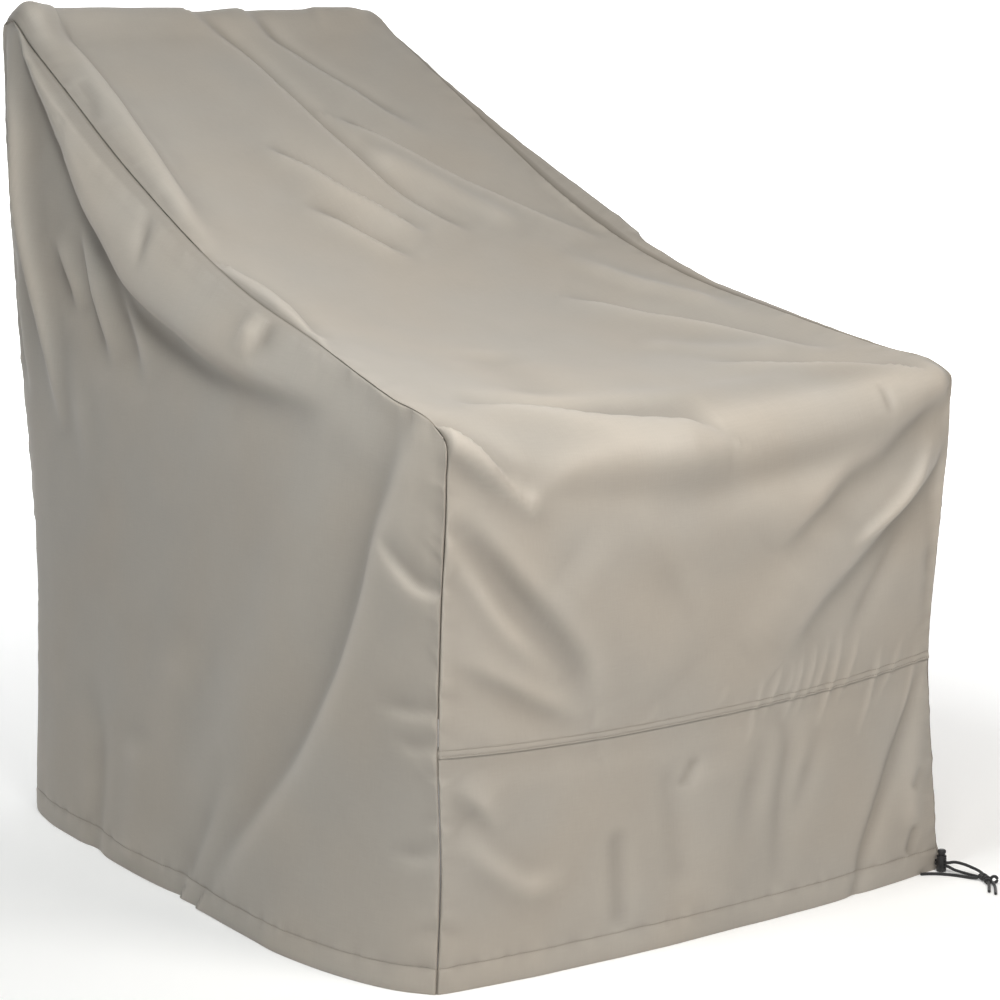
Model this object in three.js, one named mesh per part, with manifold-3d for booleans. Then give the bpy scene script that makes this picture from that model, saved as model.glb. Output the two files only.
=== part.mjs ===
// Adirondack chair cover, in the shape in which it hangs when it is in use
// Millimetres, +Z up, the front of the cover towards -Y and its left side towards -X
// Heights are measured from the floor; the group at the end moves the origin to the mount.
import * as THREE from 'three';
import { mergeVertices } from 'three/addons/utils/BufferGeometryUtils.js';
import Module from 'manifold-3d';

const wasm = await Module();
wasm.setup();

// Driving sizes of the cover
const frontWidth = 790; // between the side seams at the front corners
const topWidth = 590; // between the side seams at the top of the back
const frontY = -450; // where the front corners stand
const topY = 652; // where the top of the back leans to
const cloth = 1.6; // thickness of one sheet
const hemPly = 0.9; // what the turned-up hem adds inside
const hemDepth = 30;
const seamGap = 0.3; // each panel stops this far from the seam line
const lap = 11; // the centre panel reaches this far down over the front skirt
const lapDrop = cloth + 0.4; // how deep the skirt lies behind the centre panel there
const crownPower = 2.4; // a higher power gives a flatter middle and steeper edges
const seamHold = 60; // folds die out over this distance from a seam of the strip
const sideHold = 50; // and over this distance from the rim of a side panel
const foldEnd = 0.22; // share of a fold's path over which it rises at each end
const foldEndHeight = 0.25; // share of its height that is left at the very end

// Cord and cord lock at the right front corner
const cordRadius = 2;
const lockX = 384.4;
const lockY = -462;
const lockTurn = THREE.MathUtils.degToRad(10.6); // the cords run through it in this direction
const barrelRadius = 6.3;
const boreRadius = 4.9;
const stemRadius = 4.5;
const headRadius = 5.5;
const barrelBase = 0.4;
const barrelFloor = 1.5;
const barrelTop = 21.5;
const headHeight = 4.5;
const lowerCordZ = 8.6;
const upperCordZ = 13.1;
const press = 2.8; // travel of the button
const slack = 0.4; // clearance between the pieces of the lock
const slotWidth = 2 * cordRadius + 0.9;

// The mount lies under the top of the back, from which the whole cover hangs
const mountPoint = new THREE.Vector3(0, 640, 1040);

// Half the width between the side seams: it narrows evenly from the front to the top of the back
const taper = (frontWidth - topWidth) / 2 / (topY - frontY);
const halfWidth = (y) => frontWidth / 2 - taper * (y - frontY);

// Sections of the cover from the front hem over the seat and the back down to the back hem.
// Columns: y, z and how far the seam is drawn in, for the left seam; y, z of the middle line; the same
// three for the right seam.
const sections = [
  { at: 'front hem', left: [-441, 0, -7], middle: [-472, 0], right: [-451, 0, 5] },
  { at: 'skirt', left: [-446, 140, -4], middle: [-467, 138], right: [-450, 130, 17] },
  { at: 'felled seam', left: [-447, 280, -8], middle: [-466, 268], right: [-450, 280, 29] },
  { at: 'front', left: [-447, 450, -3], middle: [-468, 425], right: [-450, 455, 14] },
  { at: 'under the edge', left: [-449, 595, 3], middle: [-466, 540], right: [-449, 592, 1] },
  { at: 'front corner', left: [-446, 641, 4], middle: [-446, 595], right: [-445, 636, -1] },
  { at: 'front edge', left: [-424, 657, 3], middle: [-392, 628], right: [-422, 648, -2] },
  { at: 'seat front', left: [-340, 675, 0], middle: [-310, 642], right: [-345, 658, 0] },
  { at: 'seat', left: [-177, 715, 0], middle: [-165, 668], right: [-185, 682, 0] },
  { at: 'seat rear', left: [6, 757, 0], middle: [10, 714], right: [5, 716, 0] },
  { at: 'foot of the slope', left: [102, 789, 0], middle: [104, 756], right: [102, 744, 0] },
  { at: 'lower slope', left: [234, 843, 0], middle: [236, 822], right: [240, 803, 0] },
  { at: 'middle slope', left: [329, 886, 0], middle: [330, 874], right: [329, 853, 0] },
  { at: 'upper slope', left: [463, 955, 0], middle: [463, 945], right: [460, 931, 0] },
  { at: 'near the top', left: [580, 1014, 0], middle: [580, 1008], right: [578, 999, 0] },
  { at: 'top', left: [640, 1045, 0], middle: [638, 1046], right: [640, 1033, 0] },
  { at: 'behind the top', left: [664, 1038, 3], middle: [668, 1040], right: [664, 1026, 3] },
  { at: 'upper back', left: [652, 960, -6], middle: [662, 955], right: [651, 950, -6] },
  { at: 'middle back', left: [610, 690, -21], middle: [622, 690], right: [609, 685, -21] },
  { at: 'lower back', left: [560, 300, -28], middle: [575, 300], right: [560, 300, -28] },
  { at: 'back hem', left: [519, 0, -45], middle: [538, 0], right: [519, 0, -45] },
];
const sectionIndex = (name) => sections.findIndex((row) => row.at === name);

// The hems of the side panels stand out from the straight line of the seams.
// Columns: y and how far out.
const hemLeft = [
  [-441, 7], [-405, 35], [-330, 65], [-235, 85], [-110, 88], [20, 85],
  [200, 88], [330, 85], [435, 79], [490, 65], [519, 45],
];
const hemRight = [
  [-451, -5], [-415, 26], [-340, 55], [-240, 76], [-110, 83], [20, 84],
  [200, 88], [330, 85], [435, 79], [490, 65], [519, 45],
];

// Below the top seam each side panel rounds over like a shoulder, and beside the seam it stands up in a
// roll. Columns: length along the seams, height of the left shoulder and roll, the same on the right side.
const shoulders = [
  [640, 3, 0, 4, 3], [720, 9, 0, 8, 5], [870, 14, 1, 10, 6], [970, 16, 1, 11, 10],
  [1080, 17, 1, 12, 12], [1195, 18, 1, 13, 20], [1275, 19, 1, 13, 31], [1360, 19, 1, 12, 30],
  [1500, 18, 1, 11, 17], [1640, 15, 1, 9, 6], [1760, 9, 2, 6, 3], [1838, 2, 1, 2, 1],
];
const shoulderReach = 78; // distance from the seam at which the shoulder has its full height
const shoulderFade = 170; // distance over which it sinks again below that
const rollReach = 20; // distance from the seam to the crest of the roll

// Folds of the centre panel and the skirt. Each has a name, a height, a width and a path. The height says
// how far the cloth stands out, or in when it is negative. A point of a path is x and the length along
// the side seams, counted from the front hem.
const fold = (at, height, width, path) => ({ at, height, width, path });
const centreFolds = [
  fold('long trough of the back', -10, 30, [[-8, 1790], [35, 1600], [68, 1425], [80, 1295], [60, 1130]]),
  fold('swell left of it', 7, 45, [[-90, 1760], [-60, 1600], [-20, 1400], [-10, 1200]]),
  fold('crease to the right seam', -9, 22, [[80, 1545], [150, 1440], [225, 1350], [335, 1225]]),
  fold('swell above it', 8, 32, [[170, 1560], [240, 1460], [300, 1350]]),
  fold('short crease', -5, 22, [[-85, 1490], [-40, 1405], [15, 1345], [50, 1260]]),
  fold('puffed edge beside the left seam', 8, 28, [[-246, 1800], [-257, 1600], [-272, 1460], [-322, 1250]]),
  fold('fold above the left side', -7, 22, [[-328, 1160], [-315, 1085], [-350, 940]]),
  fold('hollow of the seat', -9, 50, [[-110, 930], [-120, 830], [-150, 715]]),
  fold('trough along the front edge', -7, 24, [[-240, 715], [-145, 680], [-15, 668], [30, 655]]),
  fold('front edge', 9, 28, [[-262, 610], [-140, 632], [35, 632], [270, 628], [378, 632]]),
  fold('ridge to the right corner', 7, 26, [[180, 1055], [275, 895], [375, 750]]),
  fold('second ridge to the corner', 5, 22, [[250, 775], [325, 720], [385, 680]]),
  fold('swell of the left corner', 8, 22, [[-392, 648], [-345, 622], [-288, 592]]),
  fold('left corner of the top', 14, 34, [[-285, 1806], [-205, 1804], [-80, 1805]]),
  fold('right corner of the top', 9, 30, [[180, 1805], [285, 1800]]),
  fold('diagonal from the left corner', -8, 24, [[-385, 544], [-335, 510], [-275, 440], [-205, 350]]),
  fold('swell of the front', 7, 55, [[-240, 520], [-140, 440], [-60, 340]]),
  fold('diagonal from the right corner', -9, 24, [[386, 596], [340, 508], [272, 420], [204, 332]]),
  fold('swell above it', 6, 40, [[250, 575], [170, 450], [70, 350]]),
  fold('fold beside the right seam', -5, 20, [[384, 480], [370, 410], [362, 340]]),
];
const skirtFolds = [
  fold('fold at the right', -7, 22, [[345, 265], [296, 150], [246, 50], [228, 6]]),
  fold('swell at the right', 5, 26, [[370, 250], [345, 160], [330, 60]]),
  fold('fold at the left', 4, 26, [[-385, 245], [-345, 205], [-280, 106]]),
  fold('fold at the middle', -5, 24, [[96, 272], [112, 235], [102, 145], [96, 60]]),
  fold('swell at the middle', 5, 55, [[-20, 240], [-10, 130], [-30, 20]]),
];

// Folds of the side panels. A point of a path is y and z.
const leftFolds = [
  fold('ridge down the back edge', 11, 28, [[628, 990], [585, 900], [552, 760], [505, 680], [450, 590]]),
  fold('deep trough from the top', -17, 32, [[600, 985], [535, 905], [455, 830], [315, 730], [190, 668]]),
  fold('second trough beside it', -7, 28, [[545, 800], [520, 700], [470, 590]]),
  fold('trough at the front corner', -9, 38, [[-367, 590], [-325, 455], [-195, 200], [-90, 90]]),
  fold('swell behind it', 8, 65, [[-240, 600], [-170, 430], [-70, 250], [60, 60]]),
  fold('swell at the front corner', 5, 40, [[-385, 470], [-340, 250], [-280, 60]]),
  fold('swell of the lower half', 5, 45, [[70, 330], [110, 170], [105, 5]]),
  fold('rear hem fold', -6, 26, [[340, 240], [285, 115], [280, 5]]),
  fold('swell of the rear hem', 5, 40, [[180, 180], [170, 5]]),
  fold('pinch under the seam', -5, 20, [[-60, 700], [-40, 680], [-15, 655]]),
];
const rightFolds = [
  fold('ridge down the back edge', 8, 28, [[598, 950], [515, 740], [450, 550]]),
  fold('trough from the top', -12, 32, [[590, 975], [520, 880], [400, 775], [270, 680]]),
  fold('trough at the front corner', -9, 38, [[-350, 560], [-320, 480], [-150, 170], [-80, 60]]),
  fold('swell behind it', 7, 62, [[-220, 560], [-140, 400], [-40, 220], [80, 60]]),
  fold('middle hem fold', -6, 28, [[60, 190], [90, 100], [95, 5]]),
  fold('rear hem fold', -5, 26, [[360, 200], [320, 110], [315, 5]]),
];

// Folds of the back panel. A point of a path is x and the length along the side seams.
const backFolds = [
  fold('left fold', -8, 36, [[-190, 1900], [-150, 2200], [-170, 2500], [-150, 2860]]),
  fold('middle swell', 7, 55, [[-30, 1900], [-20, 2300], [10, 2860]]),
  fold('right fold', -8, 36, [[180, 1900], [165, 2250], [120, 2550], [140, 2860]]),
  fold('short right fold', 6, 30, [[250, 2350], [240, 2600], [250, 2860]]),
];

// Curves and small functions
const smooth = (t) => {
  const x = Math.min(Math.max(t, 0), 1);
  return x * x * (3 - 2 * x);
};

function chordLengths(points) {
  const lengths = [0];
  for (let i = 1; i < points.length; i += 1) {
    lengths.push(lengths[i - 1] + points[i].distanceTo(points[i - 1]));
  }
  return lengths;
}

// A smooth curve through points at the given knots, as a function of the knot value
function smoothCurve(points, knots) {
  const last = points.length - 1;
  const slopes = points.slice(1).map((p, i) => {
    return p.clone().sub(points[i]).divideScalar(knots[i + 1] - knots[i]);
  });
  const tangents = points.map((p, i) => {
    if (i === 0) return slopes[0];
    if (i === last) return slopes[last - 1];
    const before = knots[i] - knots[i - 1];
    const after = knots[i + 1] - knots[i];
    return slopes[i - 1].clone().multiplyScalar(after)
      .addScaledVector(slopes[i], before)
      .divideScalar(before + after);
  });
  return (value) => {
    const t = Math.min(Math.max(value, knots[0]), knots[last]);
    let i = 0;
    while (i < last - 1 && t > knots[i + 1]) i += 1;
    const span = knots[i + 1] - knots[i];
    const u = (t - knots[i]) / span;
    return new THREE.Vector3()
      .addScaledVector(points[i], (1 + 2 * u) * (1 - u) ** 2)
      .addScaledVector(tangents[i], u * (1 - u) ** 2 * span)
      .addScaledVector(points[i + 1], u * u * (3 - 2 * u))
      .addScaledVector(tangents[i + 1], u * u * (u - 1) * span);
  };
}

// The two side seams and the middle line, all as functions of the length along the seams
const seamPoint = (sign) => ([y, z, inset]) => new THREE.Vector3(sign * (halfWidth(y) - inset), y, z);
const leftPoints = sections.map((row) => seamPoint(-1)(row.left));
const rightPoints = sections.map((row) => seamPoint(1)(row.right));
const middlePoints = sections.map((row, i) => {
  return new THREE.Vector3((leftPoints[i].x + rightPoints[i].x) / 2, ...row.middle);
});
const leftLengths = chordLengths(leftPoints);
const rightLengths = chordLengths(rightPoints);
const lengths = leftLengths.map((length, i) => (length + rightLengths[i]) / 2);
const leftSeam = smoothCurve(leftPoints, lengths);
const rightSeam = smoothCurve(rightPoints, lengths);
const middleLine = smoothCurve(middlePoints, lengths);
const lapLength = lengths[sectionIndex('felled seam')];
const cornerLength = lengths[sectionIndex('front corner')];
const topLength = lengths[sectionIndex('behind the top')];
const endLength = lengths[lengths.length - 1];

// Surfaces before their folds: the strip from hem to hem, and each side panel between its four edges
function stripPoint(length, across) {
  const left = leftSeam(length);
  const right = rightSeam(length);
  const crown = 1 - Math.abs(2 * across - 1) ** crownPower;
  const rise = middleLine(length).sub(left.clone().add(right).multiplyScalar(0.5));
  return left.lerp(right, across).addScaledVector(rise, crown);
}

function hemCurve(sign, rows) {
  const points = rows.map(([y, out]) => new THREE.Vector3(sign * (halfWidth(y) + out), y, 0));
  const knots = chordLengths(points);
  const curve = smoothCurve(points, knots);
  return (fraction) => curve(fraction * knots[knots.length - 1]);
}

function sideSurface(sign) {
  const seam = sign < 0 ? leftSeam : rightSeam;
  const hem = hemCurve(sign, sign < 0 ? hemLeft : hemRight);
  const front = (up) => seam(up * cornerLength);
  const back = (up) => seam(endLength - up * (endLength - topLength));
  const top = (along) => seam(cornerLength + along * (topLength - cornerLength));
  return (along, up) => new THREE.Vector3()
    .addScaledVector(front(up), 1 - along)
    .addScaledVector(back(up), along)
    .addScaledVector(hem(along), 1 - up)
    .addScaledVector(top(along), up)
    .addScaledVector(hem(0), -(1 - along) * (1 - up))
    .addScaledVector(hem(1), -along * (1 - up))
    .addScaledVector(top(0), -(1 - along) * up)
    .addScaledVector(top(1), -along * up);
}

// How far the folds move a place of a panel, from that place's own two coordinates
function foldShift(folds, u, v) {
  const place = new THREE.Vector2(u, v);
  const closest = new THREE.Vector2();
  let shift = 0;
  for (const one of folds) {
    const points = one.path.map(([a, b]) => new THREE.Vector2(a, b));
    const total = points.slice(1).reduce((sum, p, i) => sum + p.distanceTo(points[i]), 0);
    let nearest = Infinity;
    let run = 0;
    let passed = 0;
    for (let i = 1; i < points.length; i += 1) {
      const piece = points[i].clone().sub(points[i - 1]);
      const size = piece.length();
      const t = THREE.MathUtils.clamp(place.clone().sub(points[i - 1]).dot(piece) / size ** 2, 0, 1);
      closest.copy(points[i - 1]).addScaledVector(piece, t);
      const distance = closest.distanceTo(place);
      if (distance < nearest) {
        nearest = distance;
        run = (passed + t * size) / total;
      }
      passed += size;
    }
    const ends = foldEndHeight + (1 - foldEndHeight) * smooth(Math.min(run, 1 - run) / foldEnd);
    shift += one.height * ends * Math.exp(-((nearest / one.width) ** 2));
  }
  return shift;
}

// A value from one column of the table of shoulders, at a length along the seams
function fromTable(rows, column, length) {
  const next = rows.findIndex((row) => row[0] > length);
  if (next === 0) return rows[0][column];
  if (next < 0) return rows[rows.length - 1][column];
  const [before, after] = [rows[next - 1], rows[next]];
  const t = (length - before[0]) / (after[0] - before[0]);
  return before[column] + t * (after[column] - before[column]);
}

function shoulderShift(distance, height) {
  const rise = 1 - (1 - Math.min(distance / shoulderReach, 1)) ** 2;
  return height * rise * Math.exp(-((Math.max(distance - shoulderReach, 0) / shoulderFade) ** 2));
}

function rollShift(distance, height) {
  return ((height * distance) / rollReach) * Math.exp(1 - distance / rollReach);
}

// Even steps between given stations: each row is [from, to, steps]
function stations(rows) {
  const values = [rows[0][0]];
  for (const [from, to, steps] of rows) {
    for (let i = 1; i <= steps; i += 1) values.push(from + ((to - from) * i) / steps);
  }
  return values;
}
const hemEdge = 2; // the hem ends between two rows that lie this far below and above it
const nearEdge = 575; // from here on the rows are closer, up to the front corner
const pastEdge = 700;
const nearTop = 1770;
const upFront = stations([
  [0, hemDepth - hemEdge, 1], [hemDepth - hemEdge, hemDepth + hemEdge, 1],
  [hemDepth + hemEdge, lapLength, 5], [lapLength, lapLength + lap + 2, 1],
  [lapLength + lap + 2, nearEdge, 6], [nearEdge, cornerLength, 4],
]);
const overSeat = stations([
  [cornerLength, pastEdge, 4], [pastEdge, nearTop, 26], [nearTop, topLength, 4],
]);
const acrossSteps = 28;
const backAcrossSteps = 24;
const hemRows = 2; // the hem takes the first two steps of every panel that reaches the floor

// A side panel's rows keep the hem's depth at the floor and share out the rest of its height
function upFraction(row, height) {
  if (row <= hemRows) return upFront[row] / height;
  const share = (upFront[row] - upFront[hemRows]) / (cornerLength - upFront[hemRows]);
  const start = upFront[hemRows] / height;
  return start + (1 - start) * share;
}
const downBack = upFront.map((value, row) => {
  const height = endLength - topLength;
  return endLength - upFraction(row, height) * height;
}).reverse();

// Unit normal of a surface at a place, from small steps to both sides of it
const lengthStep = 2;
const shareStep = 0.004;
const clampUnit = (value) => THREE.MathUtils.clamp(value, 0, 1);
function stripNormal(length, across) {
  const lengthwise = stripPoint(length + lengthStep, across).sub(stripPoint(length - lengthStep, across));
  const crosswise = stripPoint(length, clampUnit(across + shareStep))
    .sub(stripPoint(length, clampUnit(across - shareStep)));
  return crosswise.cross(lengthwise).normalize();
}

function sideNormal(sign, along, up) {
  const surface = sign < 0 ? leftSide : rightSide;
  const lengthwise = surface(clampUnit(along + shareStep), up)
    .sub(surface(clampUnit(along - shareStep), up));
  const upward = surface(along, clampUnit(up + shareStep)).sub(surface(along, clampUnit(up - shareStep)));
  return upward.cross(lengthwise).normalize().multiplyScalar(-sign);
}

// Where a strip and a side panel meet, both are cut on the same mitre. It is the step from the outer
// corner to the inner one, for a sheet that is one unit thick.
function seamMitre(sign, length) {
  const { along, up } = sidePlace(length);
  const onStrip = stripNormal(length, sign < 0 ? 0 : 1);
  const onSide = sideNormal(sign, along, up);
  return onStrip.clone().add(onSide).divideScalar(-(1 + onStrip.dot(onSide)));
}
const leftSide = sideSurface(-1);
const rightSide = sideSurface(1);

// The place on a side panel's rim that a length along the seam gives
function sidePlace(length) {
  if (length <= cornerLength) return { along: 0, up: length / cornerLength };
  if (length >= topLength) return { along: 1, up: (endLength - length) / (endLength - topLength) };
  return { along: (length - cornerLength) / (topLength - cornerLength), up: 1 };
}

// A closed sheet from two grids of points, with its walls round the rim
function sheetGeometry(outer, inner, outward) {
  const rows = outer.length;
  const columns = outer[0].length;
  const positions = [...outer.flat(), ...inner.flat()].flatMap((p) => [p.x, p.y, p.z]);
  const index = [];
  const at = (layer, i, j) => layer * rows * columns + i * columns + j;
  const quad = (a, b, c, d) => {
    if (outward) index.push(a, b, c, a, c, d);
    else index.push(a, c, b, a, d, c);
  };
  for (let i = 0; i < rows - 1; i += 1) {
    for (let j = 0; j < columns - 1; j += 1) {
      quad(at(0, i, j), at(0, i, j + 1), at(0, i + 1, j + 1), at(0, i + 1, j));
      quad(at(1, i, j), at(1, i + 1, j), at(1, i + 1, j + 1), at(1, i, j + 1));
    }
  }
  const rim = [];
  for (let j = 0; j < columns - 1; j += 1) rim.push([0, j]);
  for (let i = 0; i < rows - 1; i += 1) rim.push([i, columns - 1]);
  for (let j = columns - 1; j > 0; j -= 1) rim.push([rows - 1, j]);
  for (let i = rows - 1; i > 0; i -= 1) rim.push([i, 0]);
  rim.forEach(([i, j], step) => {
    const [ni, nj] = rim[(step + 1) % rim.length];
    quad(at(0, i, j), at(1, i, j), at(1, ni, nj), at(0, ni, nj));
  });
  const geometry = new THREE.BufferGeometry();
  geometry.setAttribute('position', new THREE.Float32BufferAttribute(positions, 3));
  geometry.setIndex(index);
  geometry.computeVertexNormals();
  return geometry;
}

const lapSpread = 1.1; // how far a dropped panel also draws in at its seams, for each mm of its drop
const thicknessAt = (height) => (height < hemDepth ? cloth + hemPly : cloth);
const toward = (from, to) => to.clone().sub(from).normalize();

// A panel of the strip that runs over the front, the seat and the back
function stripPanel(lengthStations, steps, folds, options) {
  const base = lengthStations.map((length) => {
    return Array.from({ length: steps + 1 }, (_, j) => stripPoint(length, j / steps));
  });
  const normals = base.map((line, i) => line.map((_, j) => stripNormal(lengthStations[i], j / steps)));
  const lastRow = base.length - 1;
  const outer = [];
  const inner = [];
  base.forEach((line, i) => {
    const length = lengthStations[i];
    const height = Math.min(length, endLength - length);
    const drop = options.drop ? options.drop(length) : 0;
    outer.push([]);
    inner.push([]);
    line.forEach((point, j) => {
      const fromSeam = Math.min(j, steps - j) / steps;
      const hold = smooth((fromSeam * frontWidth) / seamHold) * (options.hold ? options.hold(length) : 1);
      const shift = foldShift(folds, point.x, length) * hold - drop;
      const place = point.clone().addScaledVector(normals[i][j], shift);
      const thick = thicknessAt(height);
      const step = normals[i][j].clone().multiplyScalar(-thick);
      if (fromSeam === 0) {
        const sign = j === 0 ? -1 : 1;
        step.copy(seamMitre(sign, length)).multiplyScalar(thick);
        const inward = toward(point, line[j === 0 ? 1 : steps - 1]);
        place.addScaledVector(inward, seamGap + lapSpread * drop);
      }
      if (i === 0 && options.gapStart) place.addScaledVector(toward(point, base[1][j]), seamGap);
      if (i === lastRow && options.gapEnd) {
        place.addScaledVector(toward(point, base[lastRow - 1][j]), seamGap);
      }
      const under = place.clone().add(step);
      if (height === 0) {
        place.z = 0;
        under.z = 0;
      }
      outer[i].push(place);
      inner[i].push(under);
    });
  });
  return sheetGeometry(outer, inner, true);
}

// A side panel, whose columns meet the strip's rows all round its rim
function sidePanel(sign, folds) {
  const surface = sign < 0 ? leftSide : rightSide;
  const backHeight = endLength - topLength;
  const columns = overSeat.map((length) => (length - cornerLength) / (topLength - cornerLength));
  const base = columns.map((along) => {
    const height = (1 - along) * cornerLength + along * backHeight;
    return upFront.map((_, row) => surface(along, upFraction(row, height)));
  });
  const normals = columns.map((along) => {
    const height = (1 - along) * cornerLength + along * backHeight;
    return upFront.map((_, row) => sideNormal(sign, along, upFraction(row, height)));
  });
  const lastColumn = columns.length - 1;
  const lastRow = upFront.length - 1;
  const shoulderColumn = sign < 0 ? 1 : 3;
  const outer = base.map((line, i) => {
    const over = overSeat[i];
    const outward = seamMitre(sign, over).normalize().negate();
    return line.map((point, row) => {
      const fromTop = point.distanceTo(line[lastRow]);
      const fromEnds = Math.min(point.distanceTo(base[0][row]), point.distanceTo(base[lastColumn][row]));
      const shift = foldShift(folds, point.y, point.z) * smooth(Math.min(fromTop, fromEnds) / sideHold);
      const shoulder = shoulderShift(fromTop, fromTable(shoulders, shoulderColumn, over));
      const roll = rollShift(fromTop, fromTable(shoulders, shoulderColumn + 1, over));
      const corners = smooth(fromEnds / seamHold);
      const place = point.clone()
        .addScaledVector(normals[i][row], shift + shoulder * corners)
        .addScaledVector(outward, roll * corners);
      if (i === 0) place.addScaledVector(toward(point, base[1][row]), seamGap);
      if (i === lastColumn) place.addScaledVector(toward(point, base[lastColumn - 1][row]), seamGap);
      if (row === lastRow) place.addScaledVector(toward(point, line[lastRow - 1]), seamGap);
      if (row === 0) place.z = 0;
      return place;
    });
  });
  const inner = outer.map((line, i) => line.map((place, row) => {
    const thick = row < hemRows ? cloth + hemPly : cloth;
    const seamLength = rimLength(i, row, lastColumn, lastRow);
    const inside = seamLength === null ? gridNormal(outer, i, row, sign) : seamMitre(sign, seamLength);
    const under = place.clone().addScaledVector(inside, thick);
    if (row === 0) under.z = 0;
    return under;
  }));
  return sheetGeometry(outer, inner, sign < 0);
}

// The normal of a grid of points at one of its places, from the neighbours on all sides
function gridNormal(grid, i, row, turn) {
  const lastRow = grid[0].length - 1;
  const lengthwise = grid[Math.min(i + 1, grid.length - 1)][row].clone().sub(grid[Math.max(i - 1, 0)][row]);
  const upward = grid[i][Math.min(row + 1, lastRow)].clone().sub(grid[i][Math.max(row - 1, 0)]);
  return upward.cross(lengthwise).normalize().multiplyScalar(turn);
}

// The length along the seam at a rim place of a side panel's grid, or null inside the panel
function rimLength(column, row, lastColumn, lastRow) {
  if (column === 0) return upFront[row];
  if (row === lastRow) return overSeat[column];
  if (column === lastColumn) return downBack[lastRow - row];
  return null;
}

// The five cut panels
const skirtTop = lapLength + lap;
const dropStart = lapLength - 42; // from here up the skirt sinks behind the centre panel
const dropRun = 34;
const lapHold = 45; // folds die out over this distance from the double row of stitches
const topHold = 12; // and over this one from the top seam
const skirtStations = [
  ...upFront.filter((value) => value < lapLength - 1),
  lapLength - 18,
  lapLength - 5,
  skirtTop,
];
const centreStations = [...upFront.filter((value) => value > lapLength - 1), ...overSeat.slice(1)];
const skirtGeometry = stripPanel(skirtStations, acrossSteps, skirtFolds, {
  drop: (length) => lapDrop * smooth((length - dropStart) / dropRun),
  hold: (length) => smooth((skirtTop - length) / seamHold),
});
const centreGeometry = stripPanel(centreStations, acrossSteps, centreFolds, {
  gapEnd: true,
  hold: (length) => smooth((length - skirtTop - 2) / lapHold) * smooth((topLength - length) / topHold),
});
const backGeometry = stripPanel(downBack, backAcrossSteps, backFolds, {
  gapStart: true,
  hold: (length) => smooth((length - topLength) / seamHold),
});
const leftGeometry = sidePanel(-1, leftFolds);
const rightGeometry = sidePanel(1, rightFolds);

// Joining and cutting of closed solids
function toSolid(geometry) {
  const plain = geometry.clone();
  plain.deleteAttribute('normal');
  plain.deleteAttribute('uv');
  const merged = mergeVertices(plain, 1e-4);
  return new wasm.Manifold(new wasm.Mesh({
    numProp: 3,
    vertProperties: new Float32Array(merged.attributes.position.array),
    triVerts: new Uint32Array(merged.index.array),
  }));
}

function toGeometry(solid) {
  const mesh = solid.getMesh();
  const geometry = new THREE.BufferGeometry();
  geometry.setAttribute('position', new THREE.BufferAttribute(new Float32Array(mesh.vertProperties), 3));
  geometry.setIndex(new THREE.BufferAttribute(new Uint32Array(mesh.triVerts), 1));
  geometry.computeVertexNormals();
  return geometry;
}

// A round solid that stands upright on its axis, from a list of [radius, height]
function turned(profile, sides) {
  const points = profile.map(([radius, height]) => new THREE.Vector2(radius, height));
  return toSolid(new THREE.LatheGeometry(points, sides).rotateX(Math.PI / 2));
}

function placedBox(width, depth, bottom, top) {
  return toSolid(new THREE.BoxGeometry(width, depth, top - bottom).translate(0, 0, (top + bottom) / 2));
}

// Cord lock: a barrel with a slot for two cords, and the button that is pressed into it
const slotBottom = lowerCordZ - cordRadius - slack;
const slotTop = upperCordZ + cordRadius + slack;
const lockSides = 24;

function barrelSolid() {
  const edge = 1; // rounding of the outer edges
  const body = turned([
    [0, barrelBase], [barrelRadius - edge, barrelBase], [barrelRadius, barrelBase + edge],
    [barrelRadius, barrelTop - edge], [barrelRadius - edge, barrelTop],
    [boreRadius, barrelTop], [boreRadius, barrelBase + barrelFloor], [0, barrelBase + barrelFloor],
  ], lockSides);
  return body.subtract(placedBox(slotWidth, 4 * barrelRadius, slotBottom, slotTop));
}

function buttonSolid() {
  const wall = 1.2; // under the button's own slot
  const dome = 2.2; // rounding of the head, as wide as this and almost as deep
  const headBase = barrelTop + slack + press;
  const headTop = headBase + headHeight;
  const body = turned([
    [0, slotBottom - wall], [stemRadius, slotBottom - wall], [stemRadius, headBase],
    [headRadius, headBase], [headRadius, headTop - 0.9 * dome],
    [headRadius - 0.3 * dome, headTop - 0.36 * dome], [headRadius - dome, headTop], [0, headTop],
  ], lockSides);
  return body.subtract(placedBox(slotWidth, 4 * barrelRadius, slotBottom, slotTop + press));
}

// Cords: each follows hand-placed points, from the hem through the lock to the knot
const knotGap = 0.7; // between the end of a cord and the knot
const knotCentre = new THREE.Vector3(398, -522.5, 5.2);
const knotSize = new THREE.Vector3(6.4, 5.4, 4.9);

// The place just off the knot's surface in a given direction from its centre
function besideKnot(x, y, z) {
  const way = new THREE.Vector3(x, y, z).normalize();
  const radius = 1 / way.clone().divide(knotSize).length();
  return knotCentre.clone().addScaledVector(way, radius + knotGap).toArray();
}
const upperRoute = [
  [382.6, -452.4, upperCordZ], [lockX, lockY, upperCordZ], [386.1, -471, upperCordZ + 0.1],
  [391.5, -477.5, 14.6], [399.5, -486, 12.6], [404.5, -497, 9.6], [405, -507, 8.2],
  besideKnot(0.62, 0.72, 0.32),
];
const lowerRoute = [
  [382.6, -452.4, lowerCordZ], [lockX, lockY, lowerCordZ], [386.1, -471, lowerCordZ],
  [389.5, -479, 5.6], [394.5, -490, 3.4], [398, -502, 2.5],
  besideKnot(0.03, 1, -0.3),
];
const frontRoute = [
  [350, -458.8, 2.1], [358, -462.6, 2.1], [366, -468.5, 2.1], [374.5, -478, 2.1],
  [382, -489.5, 2.1], [387.5, -502, 2.2], [390, -510, 2.6],
  besideKnot(-0.72, 0.66, -0.22),
];

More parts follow.
